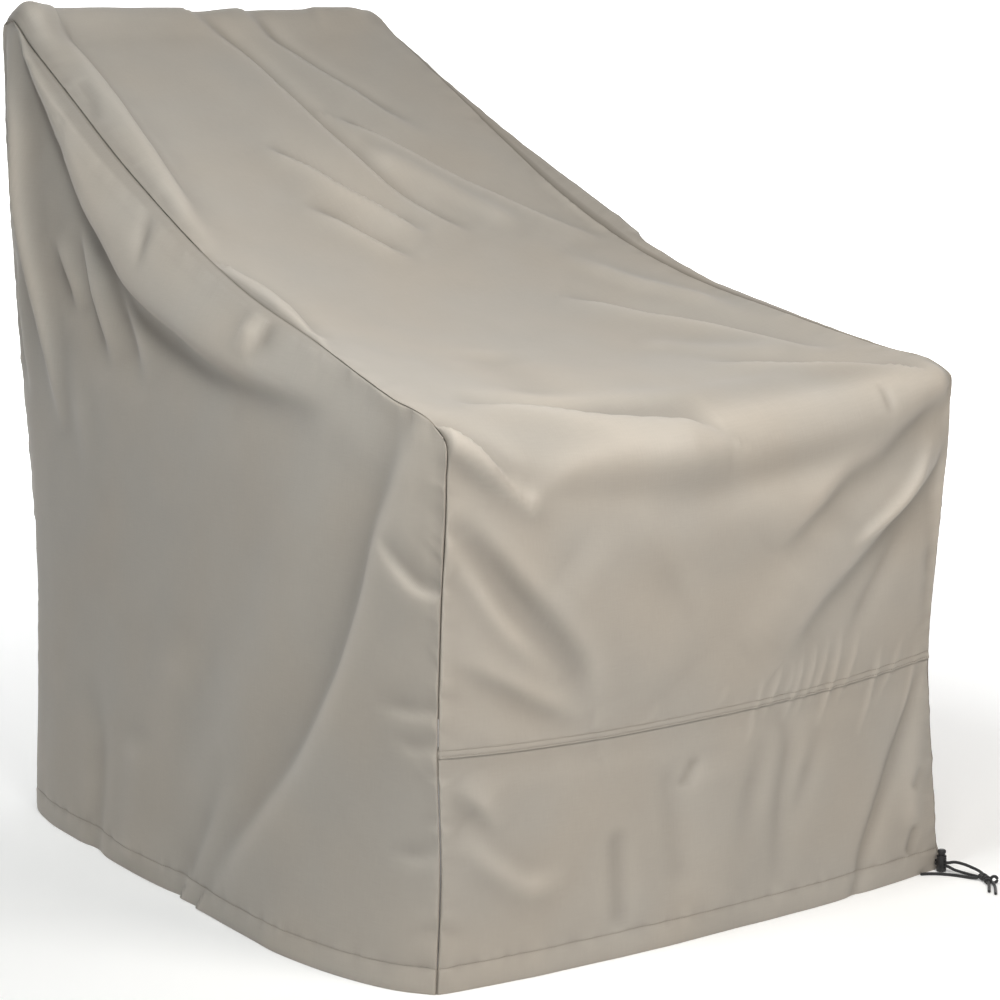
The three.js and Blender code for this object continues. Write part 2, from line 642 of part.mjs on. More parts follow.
function tube(route, radius, steps) {
  const path = new THREE.CatmullRomCurve3(route.map((p) => new THREE.Vector3(...p)));
  const section = new THREE.Shape().absarc(0, 0, radius, 0, 2 * Math.PI);
  return toSolid(new THREE.ExtrudeGeometry(section, { steps, extrudePath: path, curveSegments: 4 }));
}

// Knot: three lumps of wound cord, a small loop that stands up and two free tails
function lump(centre, size) {
  const ball = new THREE.SphereGeometry(1, 12, 8).rotateX(Math.PI / 2);
  return toSolid(ball.scale(size.x, size.y, size.z).translate(centre.x, centre.y, centre.z));
}

function knotSolid() {
  const second = lump(new THREE.Vector3(396, -530, 5), new THREE.Vector3(5.2, 6, 4.6));
  const third = lump(new THREE.Vector3(391, -537, 4.6), new THREE.Vector3(5.2, 5.6, 4.2));
  const loop = toSolid(new THREE.TorusGeometry(4.1, cordRadius, 8, 20)
    .rotateX(Math.PI / 2).rotateZ(-0.66).translate(398, -541, 6.4));
  const shortRoute = [[391, -537, 4], [384, -546, 3], [375, -555, 2.3], [367, -563, 2.1]];
  const shortTail = tube(shortRoute, cordRadius, 7);
  const longRoute = [[396, -540, 3.4], [388, -552, 2.6], [377, -564, 2.2], [367, -574, 2.1]];
  const longTail = tube(longRoute, cordRadius, 7);
  return [second, third, loop, shortTail, longTail].reduce(
    (whole, piece) => whole.add(piece),
    lump(knotCentre, knotSize),
  );
}

// Materials
const taupe = { color: 0xb3aca1, roughness: 0.75, metalness: 0, side: THREE.DoubleSide };
const black = { color: 0x121212, roughness: 0.55, metalness: 0 };
const material = (look) => new THREE.MeshStandardMaterial(look);

// Every piece by its name
const cover = new THREE.Group();
cover.name = 'adirondack_chair_cover';
cover.position.copy(mountPoint).negate();

function addPiece(name, geometry, look, turnZ = 0, x = 0, y = 0) {
  const mesh = new THREE.Mesh(geometry, material(look));
  mesh.name = name;
  mesh.rotation.z = turnZ;
  mesh.position.set(x, y, 0);
  cover.add(mesh);
}
addPiece('centre_panel', centreGeometry, taupe);
addPiece('front_skirt', skirtGeometry, taupe);
addPiece('left_side_panel', leftGeometry, taupe);
addPiece('right_side_panel', rightGeometry, taupe);
addPiece('back_panel', backGeometry, taupe);
addPiece('lock_barrel', toGeometry(barrelSolid()), black, lockTurn, lockX, lockY);
addPiece('lock_button', toGeometry(buttonSolid()), black, lockTurn, lockX, lockY);
addPiece('upper_cord', toGeometry(tube(upperRoute, cordRadius, 12)), black);
addPiece('lower_cord', toGeometry(tube(lowerRoute, cordRadius, 11)), black);
addPiece('front_cord', toGeometry(tube(frontRoute, cordRadius, 11)), black);
addPiece('cord_knot', toGeometry(knotSolid()), black);

export default cover;
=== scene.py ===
# %% [markdown]
# # A fitted cover for an adirondack chair
# The cover is sewn from five cuts of taupe polyester: one long centre panel that runs up the front, over
# the seat and the sloping back, a skirt below it, two side panels and a back panel. A drawcord with a
# push-button lock hangs out at one front corner. The cloth takes its shape from what it hangs on, so most
# of this lesson is about folds: long soft ones that run from the corners where the cloth is caught, and
# short sharp puckers along the seams.

# %% Load the solids that fix every size
import math

import bpy
import numpy as np
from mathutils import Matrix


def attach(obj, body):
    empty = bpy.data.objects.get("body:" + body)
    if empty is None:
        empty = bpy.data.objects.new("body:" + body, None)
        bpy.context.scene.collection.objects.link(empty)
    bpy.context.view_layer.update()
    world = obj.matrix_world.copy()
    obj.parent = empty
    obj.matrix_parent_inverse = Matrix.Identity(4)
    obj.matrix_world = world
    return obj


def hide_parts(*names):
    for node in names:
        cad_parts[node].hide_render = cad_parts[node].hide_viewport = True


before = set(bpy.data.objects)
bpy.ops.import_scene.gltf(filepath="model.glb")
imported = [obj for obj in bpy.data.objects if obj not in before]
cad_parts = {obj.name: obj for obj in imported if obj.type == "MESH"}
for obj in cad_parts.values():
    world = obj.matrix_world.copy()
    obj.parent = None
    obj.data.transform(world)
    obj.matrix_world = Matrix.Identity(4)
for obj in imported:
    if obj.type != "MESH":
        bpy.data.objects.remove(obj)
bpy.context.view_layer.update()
print("solids:", sorted(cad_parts))

# %% [markdown]
# The tables below are in millimetres above the floor, with the front of the cover towards -Y. The solids
# have their origin under the top of the back, where the cover hangs, so every point is moved there once,
# at the end. The camera stands low and far away with a long lens, at the front left corner.

# %% Place the camera
HANGS_AT = np.array([0.0, 640.0, 1040.0])
EYE = (-2678.2, -3472.6, 1347.1)
EYE_TURN, EYE_DROP = 38.0, 11.5
LENS, FILM_WIDTH = 126, 36
FARTHEST = 60


def row(points):
    """From millimetres above the floor to metres from the place where the cover hangs."""
    return (np.asarray(points, float) - HANGS_AT) / 1000


def linked(name, data):
    made = bpy.data.objects.new(name, data)
    bpy.context.scene.collection.objects.link(made)
    return made


camera = linked("camera", bpy.data.cameras.new("camera"))
camera.location = row(EYE)
camera.rotation_euler = (math.radians(90 - EYE_DROP), 0, math.radians(-EYE_TURN))
camera.data.lens, camera.data.sensor_width = LENS, FILM_WIDTH
camera.data.clip_end = FARTHEST
bpy.context.scene.camera = camera
print("camera at", [round(x, 3) for x in camera.location])

# %% [markdown]
# Cords and folds both follow a few given points. A smooth curve through them, with its speed set by
# the distance between the points, bends evenly and passes through every one of them.

# %% Smooth curves through given points
def unit(vectors):
    return vectors / np.linalg.norm(vectors, axis=-1)[..., None]


def chord_lengths(points):
    steps = np.linalg.norm(np.diff(points, axis=0), axis=1)
    return np.r_[0, np.cumsum(steps)]


def smooth_curve(points, knots):
    """A smooth curve through points at the given knots, as a function of the knot value."""
    points, knots = np.asarray(points, float), np.asarray(knots, float)
    width = np.diff(knots)[:, None]
    slopes = np.diff(points, axis=0) / width
    inner = (slopes[:-1] * width[1:] + slopes[1:] * width[:-1]) / (width[:-1] + width[1:])
    tangents = np.vstack([slopes[:1], inner, slopes[-1:]])

    def at(value):
        t = np.clip(np.asarray(value, float), knots[0], knots[-1])
        i = np.clip(np.searchsorted(knots, t, side="right") - 1, 0, len(knots) - 2)
        span = (knots[i + 1] - knots[i])[..., None]
        u = (t - knots[i])[..., None] / span
        return (
            (1 + 2 * u) * (1 - u) ** 2 * points[i]
            + u * (1 - u) ** 2 * span * tangents[i]
            + u * u * (3 - 2 * u) * points[i + 1]
            + u * u * (u - 1) * span * tangents[i + 1]
        )

    return at


def smooth_path(points, step):
    """Points along a smooth curve through the given ones, about one step apart."""
    points = np.asarray(points, float)
    knots = chord_lengths(points)
    count = max(int(knots[-1] / step), 3)
    return smooth_curve(points, knots)(np.linspace(0, knots[-1], count + 1))


def smooth(t):
    """A soft step: 0 up to t = 0, 1 from t = 1 on."""
    t = np.clip(t, 0, 1)
    return t * t * (3 - 2 * t)


# %% [markdown]
# The cord is braided, and its strands stand up as small diamonds. A tube whose radius rises and falls with
# two crossed spirals gives that braid real relief, so it shows in a close view and in the exported mesh.
# The same tube makes the knot, so both are sure to look like one cord.

# %% Make a braided tube
CORD_RADIUS = 2.0
BRAID_STRANDS = 8
BRAID_PITCH = 5.0
BRAID_RELIEF = 0.13
TUBE_SIDES = 24
CAP_FLOOR = 0.02


def tube_points(path):
    """Rings of points round a path, turned as little as possible from one ring to the next."""
    path = np.asarray(path, float)
    ways = unit(np.gradient(path, axis=0))
    side = unit(np.cross(ways[0], [0.0, 0.0, 1.0]))
    run = chord_lengths(path)
    turns = np.arange(TUBE_SIDES) * 2 * math.pi / TUBE_SIDES
    crossed = BRAID_STRANDS / 2 * turns
    rings = []
    for point, way, along in zip(path, ways, run):
        side = unit(side - way * (side @ way))
        over = np.cross(way, side)
        twist = along * 2 * math.pi / BRAID_PITCH
        braid = np.cos(crossed + twist) * np.cos(crossed - twist)
        end = min(along, run[-1] - along)
        cap = math.sqrt(max(1 - (1 - min(end / CORD_RADIUS, 1)) ** 2, CAP_FLOOR))
        r = ((CORD_RADIUS - BRAID_RELIEF * (1 - braid) / 2) * cap)[:, None]
        rings.append(point + r * (np.cos(turns)[:, None] * side + np.sin(turns)[:, None] * over))
    return np.array(rings), run


def tube_mesh(paths):
    """One mesh from tubes along several paths, with closed round ends and a map that follows each cord."""
    points, faces, marks = [], [], []
    for path in paths:
        rings, run = tube_points(path)
        first = len(points)
        points += list(rings.reshape(-1, 3))
        for i in range(len(rings) - 1):
            a, b = first + i * TUBE_SIDES, first + (i + 1) * TUBE_SIDES
            for j in range(TUBE_SIDES):
                k = (j + 1) % TUBE_SIDES
                faces.append((a + j, a + k, b + k, b + j))
                marks.append([(run[i], j), (run[i], j + 1), (run[i + 1], j + 1), (run[i + 1], j)])
        last = first + (len(rings) - 1) * TUBE_SIDES
        for start, ring, order in ((first, rings[0], -1), (last, rings[-1], 1)):
            points.append(ring.mean(axis=0))
            for j in range(TUBE_SIDES):
                pair = (start + j, start + (j + 1) % TUBE_SIDES)[::order]
                faces.append((*pair, len(points) - 1))
                marks.append([(0, j), (0, j + 1), (0, j)])
    mesh = bpy.data.meshes.new("tube")
    mesh.from_pydata([tuple(p) for p in row(points)], [], faces)
    flat = [(along / 1000, around / TUBE_SIDES) for face in marks for along, around in face]
    mesh.uv_layers.new(name="cord").data.foreach_set("uv", np.array(flat, float).ravel())
    mesh.shade_smooth()
    return mesh


# %% [markdown]
# Two strands come out of the channel in the hem through the push-button lock, and a third comes out further
# along the front. All three meet in a knot that lies on the floor. The routes repeat the ones of the
# solids: straight out of the lock, down to the floor and along it.

# %% Lay the three strands of the drawcord
PATH_STEP = 0.5
LOCK_AT = np.array([384.4, -462.0, 0.0])
LOCK_TURN = math.radians(10.6)
LOWER_CORD, UPPER_CORD = 8.6, 13.1
KNOT_AT = np.array([398.0, -522.5, 5.2])
KNOT_SIZE = np.array([6.4, 5.4, 4.9])
KNOT_GAP = 0.7


def beside_knot(x, y, z):
    """Where a strand ends: just outside the knot, on its side that faces the given way."""
    way = unit(np.array([x, y, z], float))
    return KNOT_AT + way * (1 / np.linalg.norm(way / KNOT_SIZE) + KNOT_GAP)


STRANDS = {
    "upper_strand": ("upper_cord", [
        (382.6, -452.4, 13.1), (384.4, -462, 13.1), (386.1, -471, 13.2), (391.5, -477.5, 14.6),
        (399.5, -486, 12.6), (404.5, -497, 9.6), (405, -507, 8.2), beside_knot(0.62, 0.72, 0.32),
    ]),
    "lower_strand": ("lower_cord", [
        (382.6, -452.4, 8.6), (384.4, -462, 8.6), (386.1, -471, 8.6), (389.5, -479, 5.6),
        (394.5, -490, 3.4), (398, -502, 2.5), beside_knot(0.03, 1, -0.3),
    ]),
    "front_strand": ("front_cord", [
        (350, -458.8, 2.1), (358, -462.6, 2.1), (366, -468.5, 2.1), (374.5, -478, 2.1),
        (382, -489.5, 2.1), (387.5, -502, 2.2), (390, -510, 2.6), beside_knot(-0.72, 0.66, -0.22),
    ]),
}
strands, strand_paths = {}, {}
for name, (node, points) in STRANDS.items():
    path = smooth_path(points, PATH_STEP)
    strand_paths[name] = path
    strands[name] = linked(name, tube_mesh([path]))
    print(name, "is", round(chord_lengths(path)[-1], 1), "mm long")

# %% [markdown]
# The knot is three short coils of the same cord, pulled tight round the strands, with a small loop left
# standing and two free tails. Spirals squeezed to the knot's height make the coils.

# %% Tie the knot
COIL_PITCH, COIL_STEPS = 3.4, 40
COILS = [
    # middle, the way it winds along, half width and half height, turns, start of the turn
    (KNOT_AT, (-0.2, -1), (4.1, 2.7), 2.2, 0.0),
    ((396, -530.4, 4.9), (-0.35, -1), (3.2, 2.4), 1.8, 1.0),
    ((391.6, -536.6, 4.6), (-0.75, -1), (3.1, 2.1), 1.6, 2.0),
]
LOOP_AT, LOOP_RADIUS, LOOP_TURN, LOOP_STEPS = (398, -541, 6.4), 4.1, -0.66, 60
TAILS = [
    [(398, -520, 5), (396, -530, 5), (391, -537, 4), (384, -546, 3), (375, -555, 2.3), (367, -563, 2.1)],
    [(399, -524, 4.6), (397, -533, 4), (394.5, -542, 3.2), (388, -552, 2.6), (377, -564, 2.2),
     (367, -574, 2.1)],
]
UP = np.array([0.0, 0.0, 1.0])


def coil(middle, way, half_size, turns, start):
    """A spiral round a level line, with its own half width and half height."""
    way = unit(np.array([*way, 0.0]))
    across = np.array([way[1], -way[0], 0.0])
    t = np.linspace(0, turns, int(turns * COIL_STEPS) + 1)[:, None]
    a = 2 * math.pi * t + start
    centre = np.asarray(middle, float) + (t - turns / 2) * way * COIL_PITCH
    return centre + np.cos(a) * half_size[0] * across + np.sin(a) * half_size[1] * UP


def standing_loop():
    a = np.linspace(0, 2 * math.pi, LOOP_STEPS)[:, None]
    across = np.array([math.cos(LOOP_TURN), math.sin(LOOP_TURN), 0.0])
    return np.array(LOOP_AT) + LOOP_RADIUS * (np.cos(a) * across + np.sin(a) * UP)


tails = [smooth_path(tail, PATH_STEP) for tail in TAILS]
knot = linked("tied_knot", tube_mesh([*(coil(*c) for c in COILS), standing_loop(), *tails]))
print("knot has", len(knot.data.polygons), "faces")

# %% [markdown]
# The cut panels need the same base shape as the solids: two seams and a middle line, given by cross
# sections from the front hem over the seat and the back down to the back hem. Each row gives y and z and,
# for the seams, how far they are drawn in. The length along the seams is the one coordinate that all
# panels share.

# %% Draw the seams and the middle line
FRONT_WIDTH, TOP_WIDTH = 790.0, 590.0
FRONT_Y, TOP_Y = -450.0, 652.0
HEM_DEPTH = 30.0
LAP, LAP_DROP = 11.0, 2.0
CROWN = 2.4
SECTIONS = [
    # name, left y z inset, middle y z, right y z inset
    ("front hem", (-441, 0, -7), (-472, 0), (-451, 0, 5)),
    ("skirt", (-446, 140, -4), (-467, 138), (-450, 130, 17)),
    ("felled seam", (-447, 280, -8), (-466, 268), (-450, 280, 29)),
    ("front", (-447, 450, -3), (-468, 425), (-450, 455, 14)),
    ("under the edge", (-449, 595, 3), (-466, 540), (-449, 592, 1)),
    ("front corner", (-446, 641, 4), (-446, 595), (-445, 636, -1)),
    ("front edge", (-424, 657, 3), (-396, 624), (-422, 648, -2)),
    ("seat front", (-340, 675, 0), (-310, 646), (-345, 658, 0)),
    ("seat", (-177, 715, 0), (-165, 668), (-185, 682, 0)),
    ("seat rear", (6, 757, 0), (10, 714), (5, 716, 0)),
    ("foot of the slope", (102, 789, 0), (104, 756), (102, 744, 0)),
    ("lower slope", (234, 843, 0), (236, 822), (240, 803, 0)),
    ("middle slope", (329, 886, 0), (330, 874), (329, 853, 0)),
    ("upper slope", (463, 955, 0), (463, 945), (460, 931, 0)),
    ("near the top", (580, 1014, 0), (580, 1008), (578, 999, 0)),
    ("top", (640, 1045, 0), (638, 1046), (640, 1033, 0)),
    ("behind the top", (664, 1038, 3), (668, 1040), (664, 1026, 3)),
    ("upper back", (652, 960, -6), (662, 955), (651, 950, -6)),
    ("middle back", (610, 690, -18), (622, 690), (609, 685, -21)),
    ("lower back", (560, 300, -19), (575, 300), (560, 300, -28)),
    ("back hem", (519, 0, -45), (538, 0), (519, 0, -45)),
]
# y along the hem, and how far the hem stands out from the cover's plain taper there
HEM_LEFT = [
    (-441, 7), (-405, 35), (-330, 65), (-235, 85), (-110, 88), (20, 85),
    (200, 88), (330, 85), (435, 79), (490, 65), (519, 45),
]
HEM_RIGHT = [
    (-451, -5), (-415, 26), (-340, 55), (-240, 76), (-110, 83), (20, 84),
    (200, 88), (330, 85), (435, 79), (490, 65), (519, 45),
]
TAPER = (FRONT_WIDTH - TOP_WIDTH) / 2 / (TOP_Y - FRONT_Y)


def half_width(y):
    return FRONT_WIDTH / 2 - TAPER * (y - FRONT_Y)


def seam_points(sign, column):
    rows = [section[column] for section in SECTIONS]
    return np.array([(sign * (half_width(y) - inset), y, z) for y, z, inset in rows])


left_points, right_points = seam_points(-1, 1), seam_points(1, 3)
middle_points = (left_points + right_points) / 2
middle_points[:, 1:] = [section[2] for section in SECTIONS]
seam_knots = (chord_lengths(left_points) + chord_lengths(right_points)) / 2
left_seam = smooth_curve(left_points, seam_knots)
right_seam = smooth_curve(right_points, seam_knots)
middle_line = smooth_curve(middle_points, seam_knots)
KNOT_OF = {section[0]: knot for section, knot in zip(SECTIONS, seam_knots)}
FELL, CORNER, TOP = KNOT_OF["felled seam"], KNOT_OF["front corner"], KNOT_OF["behind the top"]
END = seam_knots[-1]
print("along the seams:", {name: round(knot) for name, knot in KNOT_OF.items()})

# %% [markdown]
# The strip of centre panel, skirt and back panel is stretched between the two seams and arched up or down
# to the middle line. A side panel fills the frame of its four edges: front seam, top seam, back seam and
# hem. Such a surface, blended from its edges, is called a Coons patch.

# %% Stretch the panels between their edges
SMALL_STEP, SMALL_SHARE = 2.0, 0.004


def strip_point(length, across):
    length, across = np.broadcast_arrays(length, across)
    left, right = left_seam(length), right_seam(length)
    crown = 1 - np.abs(2 * across - 1) ** CROWN
    rise = middle_line(length) - (left + right) / 2
    return left + (right - left) * across[..., None] + rise * crown[..., None]


def around(share):
    """A little below and a little above a share, both within the panel."""
    return np.clip(share - SMALL_SHARE, 0, 1), np.clip(share + SMALL_SHARE, 0, 1)


def strip_normal(length, across):
    lengthwise = strip_point(length + SMALL_STEP, across) - strip_point(length - SMALL_STEP, across)
    lower, upper = around(across)
    crosswise = strip_point(length, upper) - strip_point(length, lower)
    return unit(np.cross(crosswise, lengthwise))


def hem_line(sign):
    rows = HEM_LEFT if sign < 0 else HEM_RIGHT
    points = np.array([(sign * (half_width(y) + out), y, 0) for y, out in rows])
    knots = chord_lengths(points)
    curve = smooth_curve(points, knots)
    return lambda part: curve(part * knots[-1])


def side_surface(sign):
    seam, hem = (left_seam if sign < 0 else right_seam), hem_line(sign)

    def at(along, up):
        along, up = np.broadcast_arrays(np.asarray(along, float), np.asarray(up, float))
        a, u = along[..., None], up[..., None]
        return (
            seam(up * CORNER) * (1 - a)
            + seam(END - up * (END - TOP)) * a
            + hem(along) * (1 - u)
            + seam(CORNER + along * (TOP - CORNER)) * u
            - hem(0.0) * (1 - a) * (1 - u)
            - hem(1.0) * a * (1 - u)
            - seam(CORNER) * (1 - a) * u
            - seam(TOP) * a * u
        )

    return at


SIDE = {sign: side_surface(sign) for sign in (-1, 1)}


def side_normal(sign, along, up):
    at = SIDE[sign]
    (a0, a1), (u0, u1) = around(along), around(up)
    return unit(np.cross(at(along, u1) - at(along, u0), at(a1, up) - at(a0, up)) * -sign)


def side_place(length):
    """Where a length along the seams lies on a side panel's rim."""
    on_front, on_back = length <= CORNER, length >= TOP
    along = np.where(on_front, 0, np.where(on_back, 1, (length - CORNER) / (TOP - CORNER)))
    up = np.where(on_front, length / CORNER, np.where(on_back, (END - length) / (END - TOP), 1))
    return along, up


def seam_inward(sign, length):
    """The way into the cover from a seam, halfway between the two panels that meet there."""
    onto = strip_normal(length, np.full(np.shape(length), 0.0 if sign < 0 else 1.0))
    return unit(-(onto + side_normal(sign, *side_place(length))))


print("front corner at", SIDE[-1](0.0, 1.0).round(1), "top corner at", SIDE[-1](1.0, 1.0).round(1))

# %% [markdown]
# A fold is drawn as a path on the flat panel, with a height and a width that may change from its start to
# its end. The cloth stands out, or in where the height is negative, and falls off to both sides like a
# bell. A power below two gives a sharper crest. A crease is different: the cloth stands high on the left of
# its path and low on the right, with one short steep flank between them, and both sides run out gently over
# its reach. Cloth that is pulled one way hangs in creases, and loose cloth in folds. Near the seams both
# die out over a given distance, because the stitches hold the cloth there.

# %% Describe a fold
FOLD_STEP = 10
END_FADE, END_START = 0.22, 0.1
BLUNT = 0.02


def fold(path, height, width, power=2.0, hold=60.0):
    return {"path": path, "height": height, "width": width, "power": power, "reach": 0, "hold": hold}


def crease(path, height, width, reach, hold=25.0):
    return {"path": path, "height": height, "width": width, "reach": reach, "hold": hold}


def along_fold(values, run):
    """The height or width at each share of the run, from one value or from evenly spaced ones."""
    values = np.atleast_1d(values)
    return np.interp(run, np.linspace(0, 1, len(values)), values)


def nearest_on(path, places):
    """Each place's distance from the path, its share of the run, and its side: 1 left, -1 right."""
    legs = np.diff(path, axis=0)
    away = places[:, None] - path[:-1]
    t = np.clip((away * legs).sum(2) / (legs**2).sum(1), 0, 1)
    gap = away - t[..., None] * legs
    k = (gap**2).sum(2).argmin(1)
    pick = np.arange(len(k))
    side = np.sign(legs[k, 0] * away[pick, k, 1] - legs[k, 1] * away[pick, k, 0])
    return np.linalg.norm(gap[pick, k], axis=1), (k + t[pick, k]) / len(legs), side


def fold_shift(folds, u, v, rim):
    """How far the folds move each place of a panel, from its coordinates and its distance to the rim."""
    places = np.stack([u, v], -1).reshape(-1, 2)
    rim = rim.ravel()
    shift = np.zeros(len(places))
    for f in folds:
        path = smooth_path(f["path"], FOLD_STEP)
        margin = 3 * max(np.max(f["width"]), f["reach"])
        near = np.all((places > path.min(0) - margin) & (places < path.max(0) + margin), axis=1)
        if not near.any():
            continue
        distance, run, side = nearest_on(path, places[near])
        width = along_fold(f["width"], run)
        if f["reach"]:
            form = np.tanh(side * distance / width) * np.exp(-((distance / f["reach"]) ** 2))
        else:
            form = np.exp(-((distance / width) ** 2 + BLUNT) ** (f["power"] / 2))
        if np.ndim(f["height"]) == 0:
            form = form * smooth(np.minimum(run, 1 - run) / END_FADE + END_START)
        shift[near] += along_fold(f["height"], run) * form * smooth(rim[near] / f["hold"])
    return shift.reshape(u.shape)


# %% [markdown]
# Cloth is never quite flat. A field of soft random swells, always drawn from the same seed, breaks up the
# even surface, and the same field at a smaller size gives the fine unrest of cloth that has been folded in
# a bag. Beside a seam the cloth ripples a little, because thread and cloth never have quite one length.

# %% Add the unrest of cloth
FIELD = 64
STRIP_SEED, SIDE_SEED, LAP_SEED = 7, 17, 61
SKIRT_HEM_SEED, BACK_HEM_SEED, SIDE_HEM_SEED = 31, 32, 40
LEFT_SEED, RIGHT_SEED, LEFT_BACK_SEED, RIGHT_BACK_SEED = 13, 14, 15, 16
UNREST = [(1.1, 95), (0.45, 38)]  # height and size of the swells
CALM_REACH = 25.0
# spacing, height and reach of the ripples beside a plain seam, the hem and the lapped seam
SEAM_RIPPLES, HEM_RIPPLES, LAP_RIPPLES = (22, 1.5, 26), (13, 1.7, 16), (12, 0.6, 12)
RIPPLE_START, RIPPLE_MARGIN = 5.0, 20
# how much ripples differ: the gap, height and reach as shares, the width in mm, and the slant
GAPS, HEIGHTS, REACHES, WIDTHS, SLANTS = (0.5, 1.5), (0.4, 1.0), (0.5, 1.3), (3.0, 6.0), (-0.5, 0.5)
SHOULDER_REACH, SHOULDER_FADE = 78.0, 170.0


def soft_noise(u, v, size, seed):
    """Smooth random swells from -1 to 1, about one size apart."""
    table = np.random.RandomState(seed).uniform(-1, 1, (FIELD, FIELD))
    a, b = u / size, v / size
    i, j = np.floor(a).astype(int), np.floor(b).astype(int)
    s, t = smooth(a - i), smooth(b - j)

    def edge(dj):
        low, high = (table[(i + di) % FIELD, (j + dj) % FIELD] for di in (0, 1))
        return low * (1 - s) + high * s

    return edge(0) * (1 - t) + edge(1) * t


def unrest(u, v, rim, seed):
    """Large and small swells, which calm down towards the seams."""
    swells = sum(tall * soft_noise(u, v, size, seed + k) for k, (tall, size) in enumerate(UNREST))
    return swells * smooth(rim / CALM_REACH)


def ripples(run, rim, seed, every, height, reach):
    """Short ripples that start at a seam: run is the length along it and rim the distance from it."""
    draw = np.random.RandomState(seed)
    shift = np.zeros(run.shape)
    at = run.min() - RIPPLE_MARGIN
    while at < run.max() + RIPPLE_MARGIN:
        at += every * draw.uniform(*GAPS)
        tall = height * draw.uniform(*HEIGHTS) * draw.choice([-1, 1])
        wide = draw.uniform(*WIDTHS)
        far = reach * draw.uniform(*REACHES)
        slant = draw.uniform(*SLANTS)
        close = np.abs(run - at) < 6 * wide + reach
        if not close.any():
            continue
        r, d = run[close], rim[close]
        bell = np.exp(-(((r - at - slant * d) / (wide * (1 + d / far))) ** 2))
        shift[close] += tall * bell * np.exp(-((d / far) ** 2)) * smooth(d / RIPPLE_START)
    return shift


def shoulder(distance, height):
    """The cloth rounds over from a seam like a shoulder, stands out most at its reach and then fades."""
    rise = 1 - (1 - np.clip(distance / SHOULDER_REACH, 0, 1)) ** 2
    return height * rise * np.exp(-((np.maximum(distance - SHOULDER_REACH, 0) / SHOULDER_FADE) ** 2))


# %% [markdown]
# At a plain seam both edges turn into the cover and lie against each other, which draws a fine dark groove
# along the outside. The groove is part of the mesh: close to the seam the cloth dips along the line halfway
# between its two panels, and then runs on inwards as the seam allowance. The hem is one piece with its
# panel: the cloth turns round its lower edge and comes up again inside. So each panel is a grid of rows,
# and each row has a distance from the panel's lower edge and a depth behind its face.

# %% Name the rows of a panel
SEAM_STEPS = [0, 0.5, 1.1, 2, 3.4, 5.5, 8.5, 12.5, 17.5, 23.5, 30]
SEAM_TABLE = [
    # length, depth of the groove and half of its gap on the left seam, the same on the right seam
    (0, 4.2, 1.15, 2.4, 0.45), (600, 4.2, 1.15, 2.4, 0.45), (680, 3.2, 0.75, 2.6, 0.50),
    (870, 3.0, 0.60, 3.0, 0.60), (940, 1.0, 0.10, 2.8, 0.50), (1190, 1.0, 0.10, 3.2, 0.80),
    (1240, 2.4, 0.38, 3.4, 0.95), (1500, 2.4, 0.38, 3.4, 0.95), (1800, 2.8, 0.50, 3.0, 0.70),
    (2900, 2.2, 0.35, 2.2, 0.35),
]
SHOULDER_TABLE = [
    # length, then for each side the height of the shoulder and of the roll that stands up beside the seam
    (640, 3, 0, 4, 3), (720, 10, 0, 8, 5), (870, 17, 1, 10, 6), (970, 20, 1, 11, 10), (1080, 22, 1, 12, 12),
    (1195, 24, 1, 13, 20), (1275, 25, 1, 13, 29), (1360, 25, 1, 12, 28), (1500, 23, 1, 11, 15),
    (1640, 18, 1, 9, 4), (1760, 10, 2, 6, 2), (1838, 2, 1, 2, 1),
]
ROLL = 20.0
CORNER_FADE = 60.0
ALLOWANCE = [9.0, 3.0]
HEM_ALLOWANCE, ALLOWANCE_START, ALLOWANCE_RUN = 0.12, 4, 20
GROOVE_WIDTH, TOP_GROOVE = 1.7, 1.6
CLOTH = 0.8
SIDE_HEIGHT = 760.0
HEM_FACE = [2.5, 5, 8, 12, 16, 20, 24, 26.5, 28.2, 29.2, 30, 30.8, 31.8, 33.5, 36, 40]
HEM_BEHIND = [29.2, 24, 16, 8, 2.5]
HEM_THICK = 2.6
HEM_SWELL, CHANNEL_RISE, CHANNEL_FALL = 0.9, 10, 8
STITCH_SINK, STITCH_SINK_WIDTH = 0.55, 1.7
HEM_RIPPLE_FADE = 6
LAP_FACE = [1.6, 2.1, 2.6, 3.2, 4, 5.5, 7, 8.2, 9, 9.6, 10.2, 11, 12.5, 15, 18.5, 23]
LAP_BEHIND = [9, 5, 1.6]
LAP_THICK = 1.5
LAP_ROWS = (2.6, 9.6)
BEND = np.radians([20, 55, 90, 125, 160])
HOLLOW_SIZE, HOLLOW_DEPTH = 20.0, 3
# up to which place a row or column is how wide: close together where the cloth has puckers and wrinkles
ACROSS_STEPS = [(85, 3.6), (370, 7.6), (math.inf, 3.9)]
LENGTH_STEPS = [(400, 4.2), (700, 5.6), (math.inf, 9.0)]
SIDE_STEPS = [(110, 3.6), (math.inf, 6.4)]
HEIGHT_STEPS = [(0.62, 7.4 / SIDE_HEIGHT), (math.inf, 4.6 / SIDE_HEIGHT)]


def turned_edge(face, behind, thick):
    """Rows of a turned-up edge, from inside to outside: (distance from the edge, depth behind the face)."""
    r = thick / 2
    bend = [(r - r * math.sin(a), r + r * math.cos(a)) for a in BEND]
    return [(d, thick) for d in behind] + bend + [(d, 0.0) for d in face]


def between(start, stop, steps):
    """Places from start to stop without either end, as far apart as the table of steps says."""
    places = [start]
    while places[-1] < stop:
        places.append(places[-1] + next(step for limit, step in steps if places[-1] < limit))
    stretch = (stop - start) / (places[-1] - start)
    return [start + (place - start) * stretch for place in places[1:-1]]


